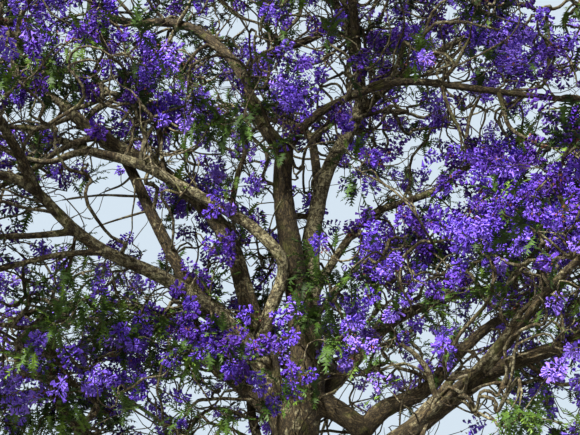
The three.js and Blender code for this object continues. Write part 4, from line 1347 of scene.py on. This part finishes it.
def bud_mesh(name, mouth):
    """A flower still folded: a slim trumpet without lobes."""
    corners = [(0, 0, 0)] + ring(BUD_SIDES, mouth, BUD_SHARE)
    mesh = prototype_mesh(name, corners, cone(BUD_SIDES), FLOWER_LENGTH)
    write_attribute(mesh, "throat", "FLOAT", [THROAT_DEPTHS[0]] + [BUD_THROAT] * BUD_SIDES)
    return mesh


def flower_mesh(name, mouth, rim, curl):
    """One open trumpet, from its foot at the origin towards +Z: a tube and its petals' lobes."""
    tube = ring(PETALS, mouth, TUBE_SHARE)
    tips = ring(PETALS, rim, curl, math.pi / PETALS)
    petals = [(1 + k, 1 + (k + 1) % PETALS, 1 + PETALS + k) for k in range(PETALS)]
    mesh = prototype_mesh(name, [(0, 0, 0)] + tube + tips, cone(PETALS) + petals, FLOWER_LENGTH)
    write_attribute(mesh, "throat", "FLOAT", np.repeat(THROAT_DEPTHS, (1, PETALS, PETALS)))
    return mesh


def collection_of(name, meshes):
    """A hidden collection of prototypes, which are removed once they have been dealt out."""
    prototypes = bpy.data.collections.new(name)
    for mesh in meshes:
        prototypes.objects.link(bpy.data.objects.new(mesh.name, mesh))
    return prototypes


def remove_prototypes(prototypes):
    """Removes a collection of prototypes with their meshes."""
    for prototype in list(prototypes.objects):
        bpy.data.meshes.remove(prototype.data)
    bpy.data.collections.remove(prototypes)


def scatter_tree():
    """Geometry Nodes that put a prototype on each point, turned, sized and picked by attributes."""
    tree = new_tree("scatter", Prototypes="Collection", Finish="Material")
    lay = Nodes(tree)
    given = lay.add("NodeGroupInput").outputs
    stored = {
        name: lay.add("GeometryNodeInputNamedAttribute", data_type=kind, Name=name).outputs["Attribute"]
        for name, kind in (("kind", "INT"), ("turn", "FLOAT_VECTOR"), ("size", "FLOAT"))
    }
    prototypes = lay.add("GeometryNodeCollectionInfo", Collection=given["Prototypes"],
                         Separate_Children=True, Reset_Children=True)
    turned = lay.add("FunctionNodeEulerToRotation", Euler=stored["turn"])
    placed = lay.add("GeometryNodeInstanceOnPoints", Points=given["Geometry"], Pick_Instance=True,
                     Instance=prototypes.outputs["Instances"], Instance_Index=stored["kind"],
                     Rotation=turned.outputs["Rotation"], Scale=stored["size"])
    finish_tree(lay, given, placed.outputs["Instances"])
    return tree


def turns_of(ways, tops):
    """Euler turns that point a prototype's +Z along a way and its +Y as near a top as can be."""
    across = unit(np.cross(tops, ways))
    tops = np.cross(ways, across)
    pitch = np.arcsin(np.clip(-across[:, 2], -1, 1))
    roll = np.arctan2(tops[:, 2], ways[:, 2])
    yaw = np.arctan2(across[:, 1], across[:, 0])
    return np.column_stack([roll, pitch, yaw])


scatter = scatter_tree()


def scatter_piece(name, places, turns, sizes, kinds, prototypes, material):
    """One piece of prototypes, dealt out to places."""
    mesh = bpy.data.meshes.new(name)
    mesh.vertices.add(len(places))
    mesh.vertices.foreach_set("co", places.astype(np.float32).ravel())
    write_attribute(mesh, "turn", "FLOAT_VECTOR", turns)
    write_attribute(mesh, "size", "FLOAT", sizes)
    mesh.attributes.new("kind", "INT", "POINT").data.foreach_set("value", kinds.astype(np.int32))
    made = stand(name, mesh)
    apply_tree(made, scatter, {"Prototypes": prototypes, "Finish": material})
    dress_crown(made)


PATCH_EDGE = (0.35, 0.65)


def patchy(shade, fineness, dark, light):
    """A colour that changes from dark to light in soft patches."""
    patches = shade.ranged(shade.noise(shade.spot(), fineness), *PATCH_EDGE)
    return shade.mixed(patches, paint(*dark), paint(*light))


def petal_material(name, violet):
    """Thin matt petals: one violet, a little uneven, and paler inside the throat."""
    material, finish = new_material(name)
    shade = Nodes(material.node_tree)
    body = patchy(shade, PETAL_PATCHES, [PETAL_SHADE * value for value in violet], violet)
    inside = shade.ranged(shade.stored("throat", "Fac"), *THROAT_EDGE, 0, THROAT_PALENESS)
    shade.feed(finish["Base Color"], shade.mixed(inside, body, paint(*THROAT)))
    finish["Roughness"].default_value = PETAL_ROUGHNESS
    finish["Specular IOR Level"].default_value = PETAL_GLOSS
    return material


flowers = collection_of("flowers", [
    flower_mesh("flower_a_open", mouth=FLOWER_MOUTH, rim=FLOWER_RIM, curl=0.95),
    flower_mesh("flower_b_wide", mouth=FLOWER_MOUTH * 1.1, rim=FLOWER_RIM * 1.25, curl=0.8),
    bud_mesh("flower_c_folded", mouth=FLOWER_MOUTH * 1.15),
])
roll = unit(random.normal(size=flower_ways.shape))
for number, (label, _, violet) in enumerate(VIOLETS):
    own = shade_of == number
    spots = flower_places[own].reshape(-1, 3)
    scatter_piece(
        f"blossom_{label}", spots,
        turns_of(flower_ways[own].reshape(-1, 3), roll[own].reshape(-1, 3)),
        flower_sizes[own].ravel(),
        random.choice(len(FLOWER_KINDS), len(spots), p=FLOWER_KINDS), flowers,
        petal_material(f"petals_{label}", violet))
remove_prototypes(flowers)


# Calyces
# Where flowers have dropped, the small rusty cups that held them stay on the stalk. Each is a
# thin three-sided cup, dealt out along the stalks of the older panicles.

OLDER_PANICLES = 0.33
CALYCES_EACH = 9
CALYX_ALONG = (-0.5, 0.9)
CALYX_SCATTER = 0.03
CALYX_SIZE = (0.7, 1.3)
CALYX_SIDES = 3
CALYX_LENGTH = 0.026
CALYX_MOUTH = 0.4
RUST_LIGHT = (122, 64, 44)
RUST_DARK = (84, 46, 36)
RUST_PATCHES = 12.0
RUST_ROUGHNESS = 0.8


def calyx_mesh(name, mouth):
    """An empty cup with its foot at the origin, open towards +Z."""
    corners = [(0, 0, 0)] + ring(CALYX_SIDES, mouth, 1)
    return prototype_mesh(name, corners, cone(CALYX_SIDES), CALYX_LENGTH)


dry_rust, finish = new_material("dry_rust")
shade = Nodes(dry_rust.node_tree)
shade.feed(finish["Base Color"], patchy(shade, RUST_PATCHES, RUST_DARK, RUST_LIGHT))
finish["Roughness"].default_value = RUST_ROUGHNESS

cups = collection_of("cups", [
    calyx_mesh("calyx_narrow", mouth=CALYX_MOUTH),
    calyx_mesh("calyx_wide", mouth=CALYX_MOUTH * 1.5),
])
older = random.random(len(feet)) < OLDER_PANICLES
along = between(random, *CALYX_ALONG, np.count_nonzero(older), CALYCES_EACH)
along = along * panicle_length[older][:, None]
spots = (feet[older][:, None] + aims[older][:, None] * along[..., None]).reshape(-1, 3)
spots += random.normal(size=spots.shape) * CALYX_SCATTER
ways = unit(random.normal(size=spots.shape))
sizes = between(random, *CALYX_SIZE, len(spots))
kinds = random.integers(0, len(cups.objects), len(spots))
turns = turns_of(ways, np.roll(ways, 1, axis=0))
scatter_piece("calyces", spots, turns, sizes, kinds, cups, dry_rust)
remove_prototypes(cups)


# Leaves
# Each is a ferny frond that is twice divided: slim side ribs stand in pairs on an arching midrib,
# with leaflets so small that each side rib reads as one narrow toothed blade.

# Sizes of a frond are shares of its length.
FROND_LENGTH = 0.24
FROND_PAIRS = 8
FIRST_PAIR = 0.14
PAIRS_SPAN = 0.84
FROND_HALF_WIDTH = 0.25
FROND_ARCH = 0.16
OUTLINE_START, OUTLINE_SPAN, OUTLINE_FULLNESS = 0.12, 0.8, 0.7
BLADE_HALF_WIDTH = 0.065
BLADE_LEAN = 0.1
BLADE_TWIST = 0.07
MIDRIB_HALF_WIDTH = 0.01
FRONDS_AT_TIP = (8, 13)
FRONDS_BY_BLOSSOM = (0, 3)
FROND_SIZE = (0.65, 1.25)
FROND_SPREAD = 1.0
FROND_LIFT = 0.15
FROND_SCATTER = 0.05
GREENS = [("dark", (41, 62, 14)), ("fresh", (64, 92, 22)), ("bright", (96, 124, 32))]
GREEN_DRIFT = 1.3
GREEN_STRAY = 0.6
GREEN_SEED = 41
LEAF_SHADE = 0.65
LEAF_PATCHES = 30.0
LEAF_ROUGHNESS = 0.6
LEAF_GLOSS = 0.3


def frond_mesh(name, droop, fold):
    """One frond along +Z, which arches away from +Y: a slim midrib and pairs of pointed blades."""

    def at(share, x, twist=0):
        return (x, -droop * share ** 2 - fold * abs(x) + twist, share)

    corners = [at(0, -MIDRIB_HALF_WIDTH), at(0, MIDRIB_HALF_WIDTH), at(1, 0)]
    faces = [(0, 1, 2)]
    for pair in range(FROND_PAIRS):
        share = FIRST_PAIR + PAIRS_SPAN * pair / (FROND_PAIRS - 1)
        outline = math.sin(math.pi * (OUTLINE_START + OUTLINE_SPAN * share)) ** OUTLINE_FULLNESS
        length = FROND_HALF_WIDTH * outline
        twist = BLADE_TWIST * (-1) ** (pair // 2)
        for hand in (-1, 1):
            first = len(corners)
            corners += [at(share - BLADE_HALF_WIDTH, 0), at(share + BLADE_HALF_WIDTH, 0),
                        at(share + BLADE_LEAN, hand * length, twist)]
            faces.append((first, first + 2, first + 1) if hand == 1 else (first, first + 1, first + 2))
    return prototype_mesh(name, corners, faces, FROND_LENGTH)


def leaf_material(name, green):
    """Matt leaflets of one green, a little uneven from place to place."""
    material, finish = new_material(name)
    shade = Nodes(material.node_tree)
    colour = patchy(shade, LEAF_PATCHES, [LEAF_SHADE * value for value in green], green)
    shade.feed(finish["Base Color"], colour)
    finish["Roughness"].default_value = LEAF_ROUGHNESS
    finish["Specular IOR Level"].default_value = LEAF_GLOSS
    return material


fronds = collection_of("fronds", [
    frond_mesh("frond_a", droop=FROND_ARCH, fold=0.15),
    frond_mesh("frond_b", droop=FROND_ARCH * 1.8, fold=0.3),
    frond_mesh("frond_c", droop=FROND_ARCH * 0.5, fold=-0.1),
])
counts = np.where(in_leaf, random.integers(*FRONDS_AT_TIP, len(in_leaf)), 0)
counts += np.where(in_blossom, random.integers(*FRONDS_BY_BLOSSOM, len(in_leaf)), 0)
rows = np.repeat(np.arange(len(in_leaf)), counts)
ways = unit(tip_ways[rows] + random.normal(size=(len(rows), 3)) * FROND_SPREAD + [0, 0, FROND_LIFT])
places = tip_places[rows] + random.normal(size=(len(rows), 3)) * FROND_SCATTER
sizes = between(random, *FROND_SIZE, len(rows))
kinds = random.integers(0, len(fronds.objects), len(rows))
drift = smooth_noise(places / HABIT_SIZE, GREEN_SEED)
greenness = 1 + GREEN_DRIFT * drift + random.normal(size=len(rows)) * GREEN_STRAY
green_of = np.clip(np.round(greenness), 0, len(GREENS) - 1).astype(int)
for number, (label, green) in enumerate(GREENS):
    own = green_of == number
    turns = turns_of(ways[own], np.tile([0.0, 0.0, 1.0], (np.count_nonzero(own), 1)))
    scatter_piece(f"leaves_{label}", places[own], turns, sizes[own], kinds[own], fronds,
                  leaf_material(f"leaf_{label}", green))
remove_prototypes(fronds)
